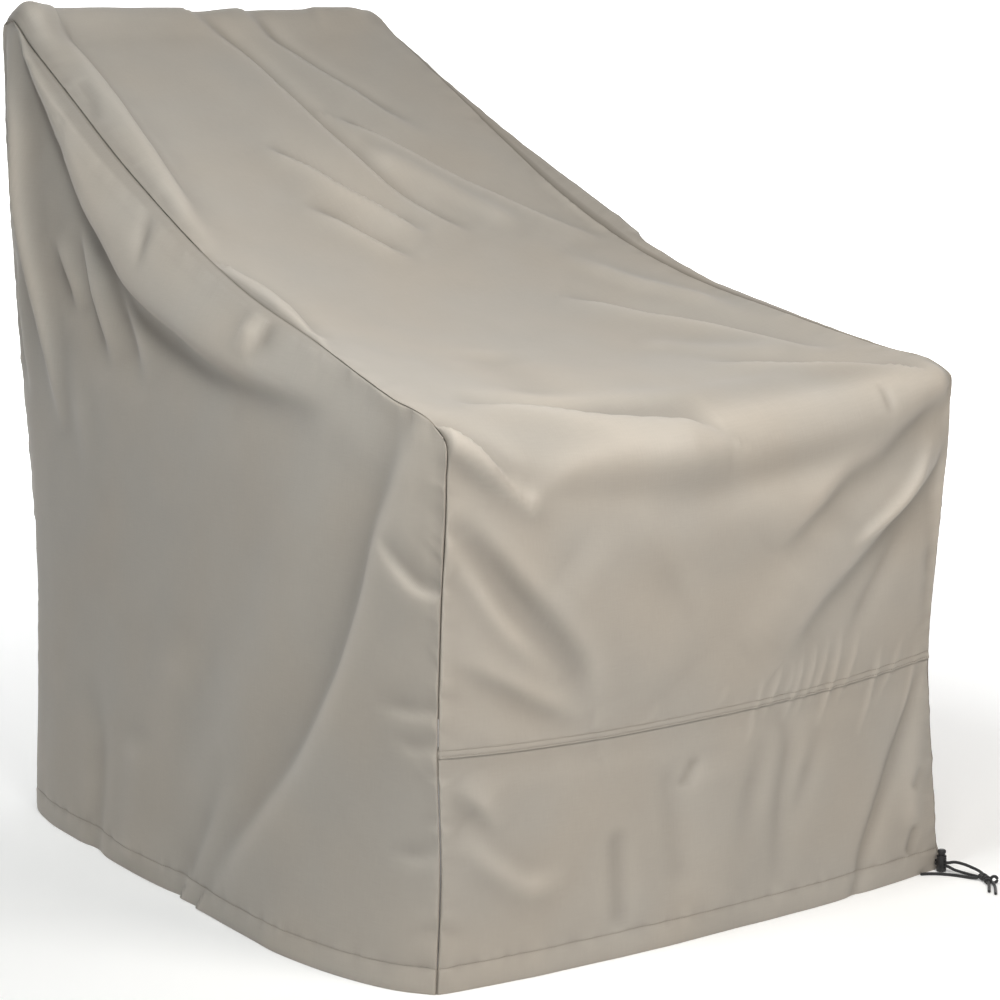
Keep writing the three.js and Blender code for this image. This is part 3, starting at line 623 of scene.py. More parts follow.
HEM_ROWS = turned_edge(HEM_FACE, HEM_BEHIND, HEM_THICK)
print("the turned hem has", len(HEM_ROWS), "rows")

# %% [markdown]
# Grooves, sinks and swells are small, but they are what makes cloth look sewn. Each is a bell or a soft
# step of a few millimetres, worked out from the distance to its seam. How far the cloth lies lower than
# around it is kept for the finish, which paints shade into the hollows and a highlight onto the ridges.

# %% Shape the cloth beside its stitches
def of_side(table, sign, length):
    """The two values of a table for one side of the cover, at a length along its seam."""
    table, first = np.array(table), 1 if sign < 0 else 3
    return [np.interp(length, table[:, 0], table[:, first + k]) for k in (0, 1)]


def groove(distance, depth, width):
    return depth * np.exp(-((distance / width) ** 2))


def seam_dip(distance, depth):
    """How far the cloth dips at a distance from a seam, as a factor for the way it dips."""
    return (depth * np.exp(-distance / GROOVE_WIDTH))[..., None]


def allowance_share(height):
    """The seam allowance is short in the hem, where it would come out below, and whole above it."""
    whole = smooth((height - HEM_DEPTH - ALLOWANCE_START) / ALLOWANCE_RUN)
    return (HEM_ALLOWANCE + (1 - HEM_ALLOWANCE) * whole)[..., None]


def hem_relief(run, height, depth, seed):
    """The cloth sinks under the hem's stitches, swells over the channel below them and ripples across."""
    swell = HEM_SWELL * smooth(height / CHANNEL_RISE) * smooth((HEM_DEPTH - height) / CHANNEL_FALL)
    level = swell - groove(height - HEM_DEPTH, STITCH_SINK, STITCH_SINK_WIDTH)
    drawn = ripples(run, np.abs(height - HEM_DEPTH) + RIPPLE_START, seed, *HEM_RIPPLES)
    return np.where(depth > 0, 0, level), np.where(depth > 0, 0, drawn)


def hollows(shift, depth, rows, columns):
    """How far the cloth lies below its average nearby. Cloth that is turned under has none."""
    mean = shift
    for places in (rows, columns):
        near = np.exp(-(((places[:, None] - places[None]) / HOLLOW_SIZE) ** 2))
        share = near * np.abs(np.gradient(places))
        mean = (share @ mean / share.sum(1)[:, None]).T
    return np.where(depth > 0, 0, mean - shift)


# %% [markdown]
# A grid becomes a mesh square by square, so that corners where two allowances would cross can be left out,
# as a maker clips them. Solidify gives the sheet its thickness on the inside. Each panel keeps a map of its
# own flat coordinates for the weave and, point by point, its distance from the nearest seam.

# %% Make a sheet of cloth from a grid
def made_plain(made):
    """Turns what an object's modifiers make into its own plain mesh."""
    rough = made.data
    solid = bpy.data.meshes.new_from_object(made.evaluated_get(bpy.context.evaluated_depsgraph_get()))
    made.modifiers.clear()
    made.data = solid
    bpy.data.meshes.remove(rough)
    print(made.name, len(solid.polygons), "faces")
    return solid


def sheet_object(name, points, cells, flat_map, rim, hollow, outward):
    rows, columns = points.shape[:2]
    number = np.arange(rows * columns).reshape(rows, columns)
    a, b, c, d = number[:-1, :-1], number[:-1, 1:], number[1:, 1:], number[1:, :-1]
    quads = np.stack([a, b, c, d] if outward else [a, d, c, b], -1)[cells]
    used, faces = np.unique(quads, return_inverse=True)
    faces = faces.reshape(quads.shape)
    mesh = bpy.data.meshes.new(name)
    mesh.from_pydata(row(points.reshape(-1, 3)[used]).tolist(), [], faces.tolist())
    flat = flat_map.reshape(-1, 2)[used][faces.ravel()] / 1000
    mesh.uv_layers.new(name="cloth").data.foreach_set("uv", flat.ravel())
    for key, values in (("seam_distance", rim / 1000), ("hollow", np.clip(hollow / HOLLOW_DEPTH, -1, 1))):
        layer = mesh.attributes.new(key, "FLOAT", "POINT")
        layer.data.foreach_set("value", values.ravel()[used].astype(np.float32))
    mesh.shade_smooth()
    made = linked(name, mesh)
    wall = made.modifiers.new("thickness", "SOLIDIFY")
    wall.thickness = CLOTH / 1000
    wall.offset = -1
    made_plain(made)
    return made


# %% [markdown]
# The strip panels run from seam to seam. Their columns are close together beside the seams, where the
# groove and the ripples are, and wider apart in the middle. On the way from the flat strip to the sewn
# panel come the folds, the ripples and the unrest, then the dips at the seams, and last the allowances.

# %% Sew a panel of the strip
def strip_columns(width):
    """The places across the strip, from 0 at the left seam to 1, in rows of the given widths."""
    near = np.array(SEAM_STEPS)[None] / width
    middle = FRONT_WIDTH - 2 * SEAM_STEPS[-1]
    inner = np.array(between(0, middle, ACROSS_STEPS))[None] / middle
    start = near[:, -1:]
    return np.hstack([near, start + (1 - 2 * start) * inner, 1 - near[:, ::-1]])


def strip_panel(name, rows, folds, seeds, hold, relief, end_seams=()):
    """rows: (length, depth) from one end to the other. hold depends on the length, relief on x as well."""
    lengths, depths = np.array(rows, float).T
    apart = right_seam(lengths) - left_seam(lengths)
    width = np.linalg.norm(apart, axis=1)[:, None]
    across = strip_columns(width)
    length, depth = lengths[:, None] + 0 * across, depths[:, None] + 0 * across
    base, normal = strip_point(length, across), strip_normal(length, across)
    x, share = base[..., 0], np.minimum(across, 1 - across)
    rim, rims = share * width, {-1: across * width, 1: (1 - across) * width}
    shift = fold_shift(folds, x, length, share * FRONT_WIDTH) * hold(length)
    for seed, distance in zip(seeds, rims.values()):
        shift = shift + ripples(length, distance, seed, *SEAM_RIPPLES)
    shift = shift + unrest(x, length, rim, STRIP_SEED) * hold(length) + relief(x, length, depth)
    hollow = hollows(shift, depth, lengths, across[0] * FRONT_WIDTH)
    points = base + normal * (shift - depth)[..., None]
    for end in end_seams:
        points = points - normal * seam_dip(np.abs(length - end), TOP_GROOVE)
    turn_in = allowance_share(np.minimum(lengths, END - lengths))
    allowances = {}
    for sign, edge in ((-1, 0), (1, -1)):
        deep, gap = of_side(SEAM_TABLE, sign, lengths[:, None])
        inward = seam_inward(sign, lengths)
        points = points + inward[:, None] * seam_dip(rims[sign], deep)
        points[:, edge] -= sign * unit(apart) * gap
        allowances[sign] = [(points[:, edge] + inward * turn_in * far)[:, None] for far in ALLOWANCE]
    grid = np.concatenate([*allowances[-1], points, *allowances[1][::-1]], axis=1)
    grid[..., 2] = np.maximum(grid[..., 2], 0)
    extra = len(ALLOWANCE)
    cells = np.ones((grid.shape[0] - 1, grid.shape[1] - 1), bool)
    hidden = (depths[:-1] > 0) | (depths[1:] > 0)
    cells[hidden, :extra] = cells[hidden, -extra:] = False
    flat_map = np.pad(np.stack([x, length], -1), ((0, 0), (extra, extra), (0, 0)), mode="edge")
    flat_map[:, :extra, 0] -= ALLOWANCE
    flat_map[:, -extra:, 0] += ALLOWANCE[::-1]
    rim, hollow = (np.pad(values, ((0, 0), (extra, extra))) for values in (rim, hollow))
    made = sheet_object(name, grid, cells, flat_map, rim, hollow, lengths[-1] > lengths[0])
    return made, points, normal


# %% [markdown]
# A side panel is framed by three seams and the hem. Its rows keep the hem's depth at the floor and share
# out the rest of its height, and its columns crowd together beside the front and the back seam. Below the
# top seam the cloth rounds over like a shoulder, and beside the seam's middle a roll of it stands up.

# %% Sew a side panel
AHEAD = 4  # how many points further on tells the way along the cloth


def side_grid(sign):
    """The columns' places in mm, where each point lies along and up, and the height of each column."""
    wide = np.linalg.norm(SIDE[sign](1.0, 0.5) - SIDE[sign](0.0, 0.5))
    near = np.array(SEAM_STEPS) / wide
    inner = np.array(between(SEAM_STEPS[-1], wide - SEAM_STEPS[-1], SIDE_STEPS)) / wide
    columns = np.r_[near, inner, 1 - near[::-1]]
    tall = ((1 - columns) * CORNER + columns * (END - TOP))[:, None]
    low = np.array([distance for distance, _ in HEM_ROWS]) / tall
    high = 1 - np.array(SEAM_STEPS)[::-1] / tall
    middle = np.array(between(0, 1, HEIGHT_STEPS))
    up = np.hstack([low, low[:, -1:] + (high[:, :1] - low[:, -1:]) * middle, high])
    return columns * wide, columns[:, None] + 0 * up, up, tall


def side_panel(name, sign, folds, seeds):
    places, along, up, tall = side_grid(sign)
    base, normal = SIDE[sign](along, up), side_normal(sign, along, up)
    height, depth = up * tall, np.zeros_like(up)
    depth[:, : len(HEM_ROWS)] = [deep for _, deep in HEM_ROWS]
    steps = np.linalg.norm(np.diff(base, axis=0), axis=-1)
    from_front = np.vstack([np.zeros_like(steps[:1]), np.cumsum(steps, axis=0)])
    from_back, from_top = from_front[-1:] - from_front, (1 - up) * tall
    rim = np.minimum(np.minimum(from_front, from_back), from_top)
    on_front, on_top, on_back = up * CORNER, CORNER + along * (TOP - CORNER), END - up * (END - TOP)
    y, z = base[..., 1], base[..., 2]
    corners = smooth(from_front / CORNER_FADE) * smooth(from_back / CORNER_FADE)
    swell, roll = of_side(SHOULDER_TABLE, sign, on_top)
    shift = fold_shift(folds, y, z, rim) + shoulder(from_top, swell) * corners
    for seed, run, distance in (
        (seeds[0], on_front, from_front), (seeds[0], on_top, from_top), (seeds[1], on_back, from_back),
    ):
        shift = shift + ripples(run, distance, seed, *SEAM_RIPPLES)
    level, drawn = hem_relief(y, height, depth, SIDE_HEM_SEED + sign)
    shift = shift + unrest(y, z, rim, SIDE_SEED) + level + drawn * smooth(rim / HEM_RIPPLE_FADE)
    hollow = hollows(shift, depth, places, up[0] * CORNER)
    roll = roll * corners * from_top / ROLL * np.exp(1 - from_top / ROLL)
    points = base + normal * (shift - depth)[..., None] - seam_inward(sign, on_top) * roll[..., None]
    edges = ((on_front[:1], from_front), (on_back[-1:], from_back), (on_top[:, :1], from_top))
    seams = [
        (seam_inward(sign, run), distance, *of_side(SEAM_TABLE, sign, run)) for run, distance in edges
    ]
    crowd = np.maximum(sum(np.exp(-distance / GROOVE_WIDTH) for _, distance, _, _ in seams), 1)[..., None]
    for inward, distance, deep, _ in seams:
        points = points + inward * seam_dip(distance, deep) / crowd
    (front_in, _, _, front_gap), (back_in, _, _, back_gap), (top_in, _, _, top_gap) = seams
    points[0] += unit(base[AHEAD] - base[0]) * front_gap.T
    points[-1] += unit(base[-1 - AHEAD] - base[-1]) * back_gap.T
    points[:, -1] += unit(base[:, -1 - AHEAD] - base[:, -1]) * top_gap
    extra, turn_in = len(ALLOWANCE), allowance_share(height)
    around_it = ((extra, extra), (0, extra))
    grid = np.pad(points, (*around_it, (0, 0)), mode="edge")
    for k, far in enumerate(ALLOWANCE):
        grid[k, :-extra] = points[0] + front_in[0] * turn_in[0] * far
        grid[-1 - k, :-extra] = points[-1] + back_in[0] * turn_in[-1] * far
        grid[extra:-extra, -1 - k] = points[:, -1] + top_in[:, 0] * far
    grid[..., 2] = np.maximum(grid[..., 2], 0)
    cells = np.ones((grid.shape[0] - 1, grid.shape[1] - 1), bool)
    cells[:extra, -extra:] = cells[-extra:, -extra:] = False
    hidden = np.r_[(depth[0, :-1] > 0) | (depth[0, 1:] > 0), np.zeros(extra, bool)]
    cells[:extra, hidden] = cells[-extra:, hidden] = False
    flat_map = np.pad(np.stack([y, z], -1), (*around_it, (0, 0)), mode="edge")
    rim, hollow = (np.pad(values, around_it) for values in (rim, hollow))
    made = sheet_object(name, grid, cells, flat_map, rim, hollow, sign < 0)
    return made, points.swapaxes(0, 1), normal.swapaxes(0, 1)


# %% [markdown]
# These are the folds of the strip. Their points are x and the length along the seams. The long ones start
# where the cloth is caught, at the corners of the top and of the front edge, and run towards the middle.

# %% List the folds of the sloping back
SLOPE_FOLDS = [
    # the puffed edge of the sloping back, beside the left seam
    fold([(-246, 1800), (-252, 1690), (-257, 1600), (-272, 1460), (-302, 1330), (-322, 1250)],
         [3, 9, 12, 12, 9, 3], 25, hold=30),
    crease([(-238, 1775), (-240, 1700), (-250, 1610), (-262, 1520), (-275, 1430), (-292, 1345),
            (-312, 1270)], [-3, -7, -9, -9, -9, -7, 0], 13, 46),
    fold([(-282, 1640), (-290, 1590), (-306, 1545)], -4.0, 7, hold=10),
    fold([(-345, 1215), (-338, 1185), (-342, 1160)], -4.0, 7, hold=5),
    fold([(-345, 1150), (-350, 1060), (-370, 930)], [4, 9, 5], 19, hold=8),
    crease([(-328, 1160), (-315, 1100), (-322, 1045), (-350, 950)], [-3, -8, -7, 0], 8, 32),
    fold([(-232, 1770), (-234, 1700), (-244, 1610), (-256, 1520), (-269, 1430), (-286, 1345)],
         [-2, -5, -6, -6, -5, 0], 9, hold=30),
    # long creases down the sloping back, each with a narrow hollow on its low side
    fold([(0, 1785), (22, 1742), (36, 1685), (44, 1600), (50, 1500), (56, 1425), (72, 1360), (98, 1308),
          (122, 1268)], [-3, -8, -12, -12, -11, -12, -10, -8, 0], 15, hold=40),
    fold([(86, 1790), (102, 1748), (120, 1710), (140, 1660), (160, 1616), (178, 1570), (192, 1532)],
         [-3, -7, -8, -8, -7, -6, 0], 14, hold=40),
    fold([(88, 1546), (105, 1524), (122, 1498), (138, 1466), (156, 1434), (186, 1392), (210, 1366),
          (244, 1326), (276, 1286)], [-1, -7, -9, -9, -8, -8, -8, -7, 0], 7, hold=40),
    fold([(-86, 1474), (-62, 1440), (-44, 1410), (-27, 1368), (-6, 1332), (20, 1290)],
         [0, -6, -7, -8, -8, 0], 9),
    fold([(-82, 1304), (-60, 1268), (-38, 1230)], [0, -7, 0], 10),
    crease([(-12, 1790), (12, 1742), (26, 1685), (34, 1600), (40, 1500), (46, 1425), (62, 1360),
            (90, 1308), (120, 1262)],
           [-3, -6, -9, -9.5, -9, -8.5, -8.5, -7, 0], [12, 15, 18, 19, 18, 16, 16, 15, 14], 78),
    crease([(76, 1800), (92, 1750), (110, 1712), (130, 1662), (150, 1618), (168, 1571), (182, 1532),
            (208, 1488)], [-3, -6, -7, -7, -6.5, -6, -4, 0], 17, 62),
    crease([(80, 1548), (99, 1526), (116, 1500), (132, 1468), (150, 1438), (180, 1396), (204, 1370),
            (238, 1330), (270, 1290), (298, 1256), (312, 1225)],
           [-1, -6, -9, -10, -10, -10, -10, -9, -8, -5, 0], [5, 6, 7, 7, 8, 9, 10, 11, 12, 12, 12], 80),
    fold([(60, 1470), (96, 1420), (150, 1335), (200, 1260)], 8, 24),
    crease([(-92, 1476), (-68, 1443), (-50, 1412), (-33, 1370), (-12, 1333), (14, 1290), (38, 1258)],
           [0, -8, -11, -13, -13, -9, 0], 10, 40),
    crease([(-116, 1338), (-88, 1306), (-66, 1270), (-44, 1232), (-20, 1200)],
           [0, -8, -11, -8, 0], 11, 38),
    fold([(-90, 1760), (-60, 1600), (-20, 1400), (-10, 1200)], 5, 50),
    fold([(-285, 1806), (-205, 1804), (-125, 1804), (-50, 1805), (20, 1806)],
         [11, 12, 8, 4, 0], 32, hold=30),
    fold([(-280, 1700), (-276, 1760), (-272, 1805), (-270, 1834)], [2, 7, 11, 8], 20, hold=6),
    fold([(180, 1805), (285, 1800)], 4, 30),
]
print(len(SLOPE_FOLDS), "folds on the sloping back")

# %% [markdown]
# The seat is slack. A trough lies behind the front edge, with a pointed dip near the left corner, and the
# edge itself puffs up before the cloth falls over it.

# %% List the folds of the seat and its front edge
SEAT_FOLDS = [
    fold([(-110, 930), (-120, 830), (-150, 740)], -7, 45),
    crease([(130, 1100), (174, 1062), (202, 1012), (236, 970), (264, 926), (288, 872), (306, 815),
            (328, 772)], [0, -9, -13, -13, -12, -9, -6, 0], 11, 46),
    fold([(205, 1205), (240, 1150), (268, 1092), (298, 1045), (330, 950)], [0, 8, 10, 8, 2], 24),
    crease([(140, 805), (208, 770), (268, 728), (322, 682)], [0, -6, -9, -5], 9, 38),
    fold([(120, 920), (200, 850), (280, 790)], 5, 30),
    # the trough behind the front edge, and the edge itself
    crease([(-300, 728), (-225, 705), (-145, 677), (-60, 662), (-15, 655), (26, 640)],
           [0, -8, -12, -14, -16, -1], [14, 12, 10, 8, 6, 4], 40),
    fold([(-262, 745), (-160, 708), (-60, 694), (10, 676)], [-3, -8, -9, -2], 20),
    crease([(-392, 668), (-380, 658), (-350, 638), (-306, 602)], [-4, -8, -9, -2], 5, 28, hold=5),
    fold([(-392, 648), (-345, 622), (-284, 592)], [7, 11, 9], 14, hold=8),
    fold([(-266, 604), (-215, 630), (-140, 640), (-75, 640), (35, 652), (165, 655), (270, 652),
          (378, 646)], [5, 9, 11, 12, 13, 13, 13, 10], 24, power=1.3, hold=25),
    fold([(-120, 592), (0, 602), (150, 606), (330, 606)], [0, -5, -7, -4], 24),
    fold([(282, 652), (276, 628)], -3, 6),
]
print(len(SEAT_FOLDS), "folds on the seat and its front edge")

# %% [markdown]
# On the front the folds fan out from the two corners of the seat. Below the lapped seam they go on down the
# skirt, softer. The back panel has a few long ones.

# %% List the folds of the front, the skirt and the back panel
FRONT_FOLDS = [
    # from the left corner
    crease([(-398, 560), (-385, 556), (-360, 548), (-335, 530), (-290, 484), (-238, 427), (-205, 380),
            (-192, 325)], [1, 6, 10, 12, 11, 10, 8, 2], 14, 60, hold=14),
    fold([(-392, 528), (-360, 492), (-312, 432), (-250, 375)], [3, 7, 7, 2], 15, hold=8),
    crease([(-385, 395), (-345, 378), (-290, 350), (-245, 325), (-205, 302)], [0, 5, 7, 6, 1], 11, 38),
    fold([(-240, 520), (-140, 440), (-60, 340)], 7, 60),
    crease([(-120, 560), (-60, 470), (-20, 380)], [0, 4, 0], 18, 60),
    # from the right corner
    crease([(392, 562), (358, 528), (311, 498), (277, 478), (245, 456), (213, 434), (165, 402),
            (138, 376), (106, 342)],
           [-3, -9, -13, -14, -14, -13, -11, -8, -1], [11, 13, 15, 16, 17, 17, 17, 16, 15], 62, hold=26),
    crease([(377, 623), (343, 614), (298, 600), (262, 590), (207, 580), (158, 551), (118, 519), (84, 490)],
           [-4, -9, -12, -12, -11, -9, -6, 0], 15, 52, hold=20),
    fold([(347, 566), (322, 538), (296, 519), (270, 504), (240, 488), (205, 468)],
         [3, 8, 9, 8, 6, 0], 12, hold=15),
    fold([(322, 470), (280, 420), (238, 372), (205, 330)], [0, -6, -6, 0], 14, power=1.5),
    fold([(200, 520), (120, 440), (40, 360)], 5, 40),
    fold([(380, 480), (366, 410), (356, 340)], [-4, -7, -3], 11, power=1.5, hold=24),
]
SKIRT_FOLDS = [
    fold([(96, 272), (112, 235), (102, 145), (96, 60)], [-3, -7, -6, -2], 18, power=1.6),
    fold([(88, 268), (60, 190), (30, 90)], [0, -5, 0], 18),
    fold([(345, 265), (318, 200), (296, 150), (276, 108), (246, 50), (228, 6)],
         [-2, -8, -11, -11, -9, -6], 13, power=1.4, hold=10),
    fold([(370, 250), (345, 160), (330, 60)], 7, 22),
    fold([(352, 150), (335, 118)], -5, 8),
    fold([(345, 72), (330, 30)], -5, 8),
    fold([(170, 250), (150, 180), (120, 110)], [0, -5, 0], 14),
    crease([(-385, 245), (-345, 205), (-320, 175)], [0, 6, 0], 9, 35),
    fold([(-362, 165), (-325, 135), (-280, 106), (-222, 110)], [3, 7, 7, 0], 16),
    fold([(-80, 235), (-72, 150), (-60, 60)], -3, 18),
    fold([(-155, 160), (-152, 90), (-150, 30)], -5, 14),
    fold([(-20, 240), (-10, 130), (-30, 20)], 6, 50),
    fold([(-35, 232), (-58, 190)], -4, 8),
]
BACK_FOLDS = [
    fold([(-190, 1900), (-150, 2200), (-170, 2500), (-150, 2860)], -8, 36),
    fold([(-30, 1900), (-20, 2300), (10, 2860)], 7, 55),
    fold([(180, 1900), (165, 2250), (120, 2550), (140, 2860)], -8, 36),
    fold([(250, 2350), (240, 2600), (250, 2860)], 6, 30),
    crease([(-270, 1870), (-215, 1960), (-120, 2090)], [4, 6, 0], 14, 55),
    crease([(270, 1870), (205, 1970), (110, 2120)], [-4, -6, 0], 14, 55),
    crease([(-200, 2420), (-120, 2560), (-95, 2700)], [0, 4, 0], 13, 45),
]
print("folds:", len(FRONT_FOLDS), "front,", len(SKIRT_FOLDS), "skirt,", len(BACK_FOLDS), "back")

# %% [markdown]
# Where a panel is drawn in by its stitches, short sharp creases start at the seam. Those that show most are
# listed one by one, and the rest are strewn along the seams later.

# %% List the folds of the side panels
SIDE_HOLD = 45.0
LEFT_FOLDS = [
    # the fan from the top corner of the back
    fold([(642, 1012), (606, 950), (572, 890), (548, 825), (520, 762), (490, 700), (462, 638),
          (440, 575), (424, 520)], [3, 14, 22, 27, 28, 26, 21, 12, 0], 19, power=1.5, hold=26),
    crease([(612, 1032), (580, 996), (548, 970), (513, 945), (480, 922), (450, 898), (420, 875),
            (392, 851), (366, 829), (340, 808), (304, 784), (268, 757), (232, 732), (178, 710),
            (110, 690), (40, 670), (-40, 656), (-130, 649), (-240, 648)],
           [-6, -12, -17, -20, -22, -23, -23, -23, -22, -21, -20, -19, -17, -15, -12, -10, -8, -5, 0],
           [7, 9, 11, 12, 13, 14, 14, 14, 14, 14, 14, 14, 14, 15, 15, 15, 15, 15, 15], 88, hold=12),
    crease([(404, 800), (379, 757), (353, 714), (324, 672), (290, 625)], [0, -10, -13, -10, 0], 11, 40),
    crease([(462, 775), (444, 748), (418, 716), (392, 680)], [0, -9, -9, 0], 10, 34),
    crease([(590, 745), (578, 676), (556, 612), (538, 548)], [0, -9, -9, 0], 12, 34),
    crease([(300, 745), (262, 700), (225, 655), (196, 610)], [0, -7, -8, 0], 12, 38),
    fold([(420, 640), (372, 560), (340, 470)], [0, 7, 0], 26),
    # pinches under the seam
    fold([(216, 828), (202, 796), (184, 752)], [-3, -6, 0], 9, power=1.5, hold=12),
    fold([(-58, 740), (-52, 712), (-47, 682)], [1, 4, 0], 12, hold=12),
    crease([(-80, 738), (-74, 712), (-64, 678)], [2, 6, 0], 8, 30, hold=12),
    fold([(468, 928), (440, 925), (424, 914)], -2.0, 5, hold=10),
    fold([(455, 912), (430, 908), (412, 898)], -2.0, 5, hold=10),
    fold([(445, 893), (420, 888), (404, 878)], -1.7, 5, hold=10),
    # from the front corner
    crease([(-385, 655), (-367, 590), (-337, 515), (-320, 455), (-288, 370), (-220, 245), (-95, 105),
            (-30, 30)], [-4, -12, -15, -16, -15, -12, -9, -4], 19, 84),
    crease([(-352, 525), (-370, 508), (-396, 487), (-420, 470), (-447, 466)],
           [0, 3, 4.5, 4.5, 2], 5.5, 26, hold=8),
    crease([(-355, 330), (-400, 327), (-447, 330)], [0, 3.4, 2], 5.5, 24, hold=8),
    crease([(-380, 300), (-412, 286), (-447, 290)], [0, 2.6, 1.6], 5.5, 20, hold=8),
    crease([(-378, 160), (-412, 158), (-447, 168)], [0, 2.8, 1.6], 5.5, 22, hold=8),
    # the slack lower half
    fold([(-240, 600), (-170, 430), (-70, 250), (60, 60)], 8, 70, hold=SIDE_HOLD),
    crease([(-60, 200), (-20, 110), (30, 20)], [0, -5, -5], 14, 45),
    fold([(70, 330), (110, 170), (105, 5)], 6, 50, hold=SIDE_HOLD),
    fold([(340, 240), (285, 115), (280, 5)], [0, -7, -7], 26, hold=SIDE_HOLD),
    fold([(180, 180), (170, 5)], 6, 40, hold=SIDE_HOLD),
]
RIGHT_FOLDS = [
    fold([(598, 950), (515, 740), (450, 550)], [3, 8, 3], 24, power=1.6, hold=SIDE_HOLD),
    crease([(600, 1000), (530, 900), (410, 790), (270, 690)], [-4, -10, -9, 0], 15, 70, hold=12),
    crease([(470, 760), (390, 660), (330, 590)], [0, -4, 0], 9, 30),
    crease([(-385, 620), (-350, 560), (-320, 480), (-250, 330), (-150, 170), (-80, 60)],
           [-3, -6, -7, -6, -5, -2], 20, 80),
    fold([(-220, 560), (-140, 400), (-40, 220), (80, 60)], 6, 65, hold=SIDE_HOLD),
    fold([(60, 190), (90, 100), (95, 5)], -6, 28, hold=SIDE_HOLD),
    fold([(360, 200), (320, 110), (315, 5)], -5, 26, hold=SIDE_HOLD),
    crease([(120, 735), (100, 690), (85, 640)], [3, 5, 1], 8, 32, hold=10),
    crease([(-345, 520), (-390, 484), (-425, 472)], [0, 3, 0], 7, 26, hold=20),
]
print(len(LEFT_FOLDS), "folds on the left side,", len(RIGHT_FOLDS), "on the right")

# %% [markdown]
# The centre panel laps over the skirt: its lower edge is turned under and held by two rows of stitches. The
# skirt drops a cloth's thickness behind it there. Across that double row the cloth is drawn into fine
# slanting wrinkles, strongest towards the right, where the pull from the corner meets the seam.

# %% Place the wrinkles across the lapped seam
WRINKLES = [
    # x and length of the upper end, x and length of the lower end, height
    (-90, 322, -112, 288, 1.4), (15, 322, 0, 298, 1.4), (72, 322, 50, 262, 2.0), (103, 338, 74, 268, 2.4),
    (124, 330, 104, 282, 1.7), (140, 342, 108, 258, 2.7), (165, 352, 128, 262, 2.6),
    (186, 356, 150, 272, 2.2), (208, 362, 165, 240, 3.1), (236, 350, 196, 262, 2.6),
    (276, 326, 236, 214, 2.8), (318, 328, 268, 246, 2.1), (345, 312, 305, 192, 2.4),
    (368, 300, 345, 232, 1.7), (60, 275, 44, 236, 1.6),
]
WRINKLE_WIDTH, WRINKLE_BOW, WRINKLE_HOLD, WRINKLE_END = 4.6, 3, 12, 0.3
LAP_SINK, LAP_SINK_WIDTH, LAP_RISE = 0.35, 1.3, 8
LAP_HOLD, LAP_HOLD_REACH = 0.35, 45
DROP_START, DROP_RUN = 42, 34


def wrinkle(x0, y0, x1, y1, tall):
    bowed = [(x0, y0), ((x0 + x1) / 2 + WRINKLE_BOW, (y0 + y1) / 2), (x1, y1)]
    return fold(bowed, [0, tall, tall, WRINKLE_END * tall], WRINKLE_WIDTH, hold=WRINKLE_HOLD)


WRINKLE_FOLDS = [wrinkle(*places) for places in WRINKLES]


def wrinkles(x, length):
    return fold_shift(WRINKLE_FOLDS, x, length, FRONT_WIDTH / 2 - np.abs(x))


def near_lap(length):
    """The folds are only a third as high where the double row of stitches holds the cloth."""
    return LAP_HOLD + (1 - LAP_HOLD) * smooth(np.abs(length - FELL - LAP / 2) / LAP_HOLD_REACH)


def lap_relief(x, length, depth):
    """The two rows of stitches, the ripples between them and the slanting wrinkles that cross them."""
    above = length - FELL
    rows = sum(groove(above - at, LAP_SINK, LAP_SINK_WIDTH) for at in LAP_ROWS)
    drawn = ripples(x, np.abs(above - LAP) + RIPPLE_START, LAP_SEED, *LAP_RIPPLES)
    return np.where(depth > 0, 0, -rows) + drawn * smooth(above / LAP_RISE) + wrinkles(x, length)


def skirt_relief(x, length, depth):
    drop = LAP_DROP * smooth((length - (FELL - DROP_START)) / DROP_RUN)
    return sum(hem_relief(x, length, depth, SKIRT_HEM_SEED)) + wrinkles(x, length) - drop


def back_relief(x, length, depth):
    return sum(hem_relief(x, END - length, depth, BACK_HEM_SEED))


print(len(WRINKLES), "wrinkles cross the lapped seam")

# %% [markdown]
# Now the five panels can be sewn. Neighbours share the seed of the seam between them, so the ripples of
# one panel go on in the next. The folds of the centre panel also run on into the skirt.

# %% Sew the strip and the two sides
STRIP_FOLDS = SLOPE_FOLDS + SEAT_FOLDS + FRONT_FOLDS + SKIRT_FOLDS
FACE = 0.0
BEHIND_LAP = (-10, -6, -3, 0, 3, 7, LAP)
TOP_FADE, BACK_FADE = 12, 60
lap_rows = [(FELL + d, deep) for d, deep in turned_edge(LAP_FACE, LAP_BEHIND, LAP_THICK)]
skirt_rows = (
    HEM_ROWS
    + [(d, FACE) for d in between(HEM_FACE[-1], FELL + BEHIND_LAP[0], LENGTH_STEPS)]
    + [(FELL + d, FACE) for d in BEHIND_LAP]
)
centre_rows = (
    lap_rows
    + [(d, FACE) for d in between(FELL + LAP_FACE[-1], TOP - SEAM_STEPS[-1], LENGTH_STEPS)]
    + [(TOP - d, FACE) for d in SEAM_STEPS[::-1]]
)
back_rows = (
    [(TOP + d, FACE) for d in SEAM_STEPS]
    + [(d, FACE) for d in between(TOP + SEAM_STEPS[-1], END - HEM_FACE[-1], LENGTH_STEPS)]
    + [(END - d, deep) for d, deep in HEM_ROWS[::-1]]
)
skirt, *skirt_grid = strip_panel(
    "skirt_cloth", skirt_rows, STRIP_FOLDS, (LEFT_SEED, RIGHT_SEED), hold=near_lap, relief=skirt_relief,
)
centre, *centre_grid = strip_panel(
    "centre_cloth", centre_rows, STRIP_FOLDS, (LEFT_SEED, RIGHT_SEED),
    hold=lambda length: near_lap(length) * smooth((TOP - length) / TOP_FADE),
    relief=lap_relief, end_seams=(TOP,),
)
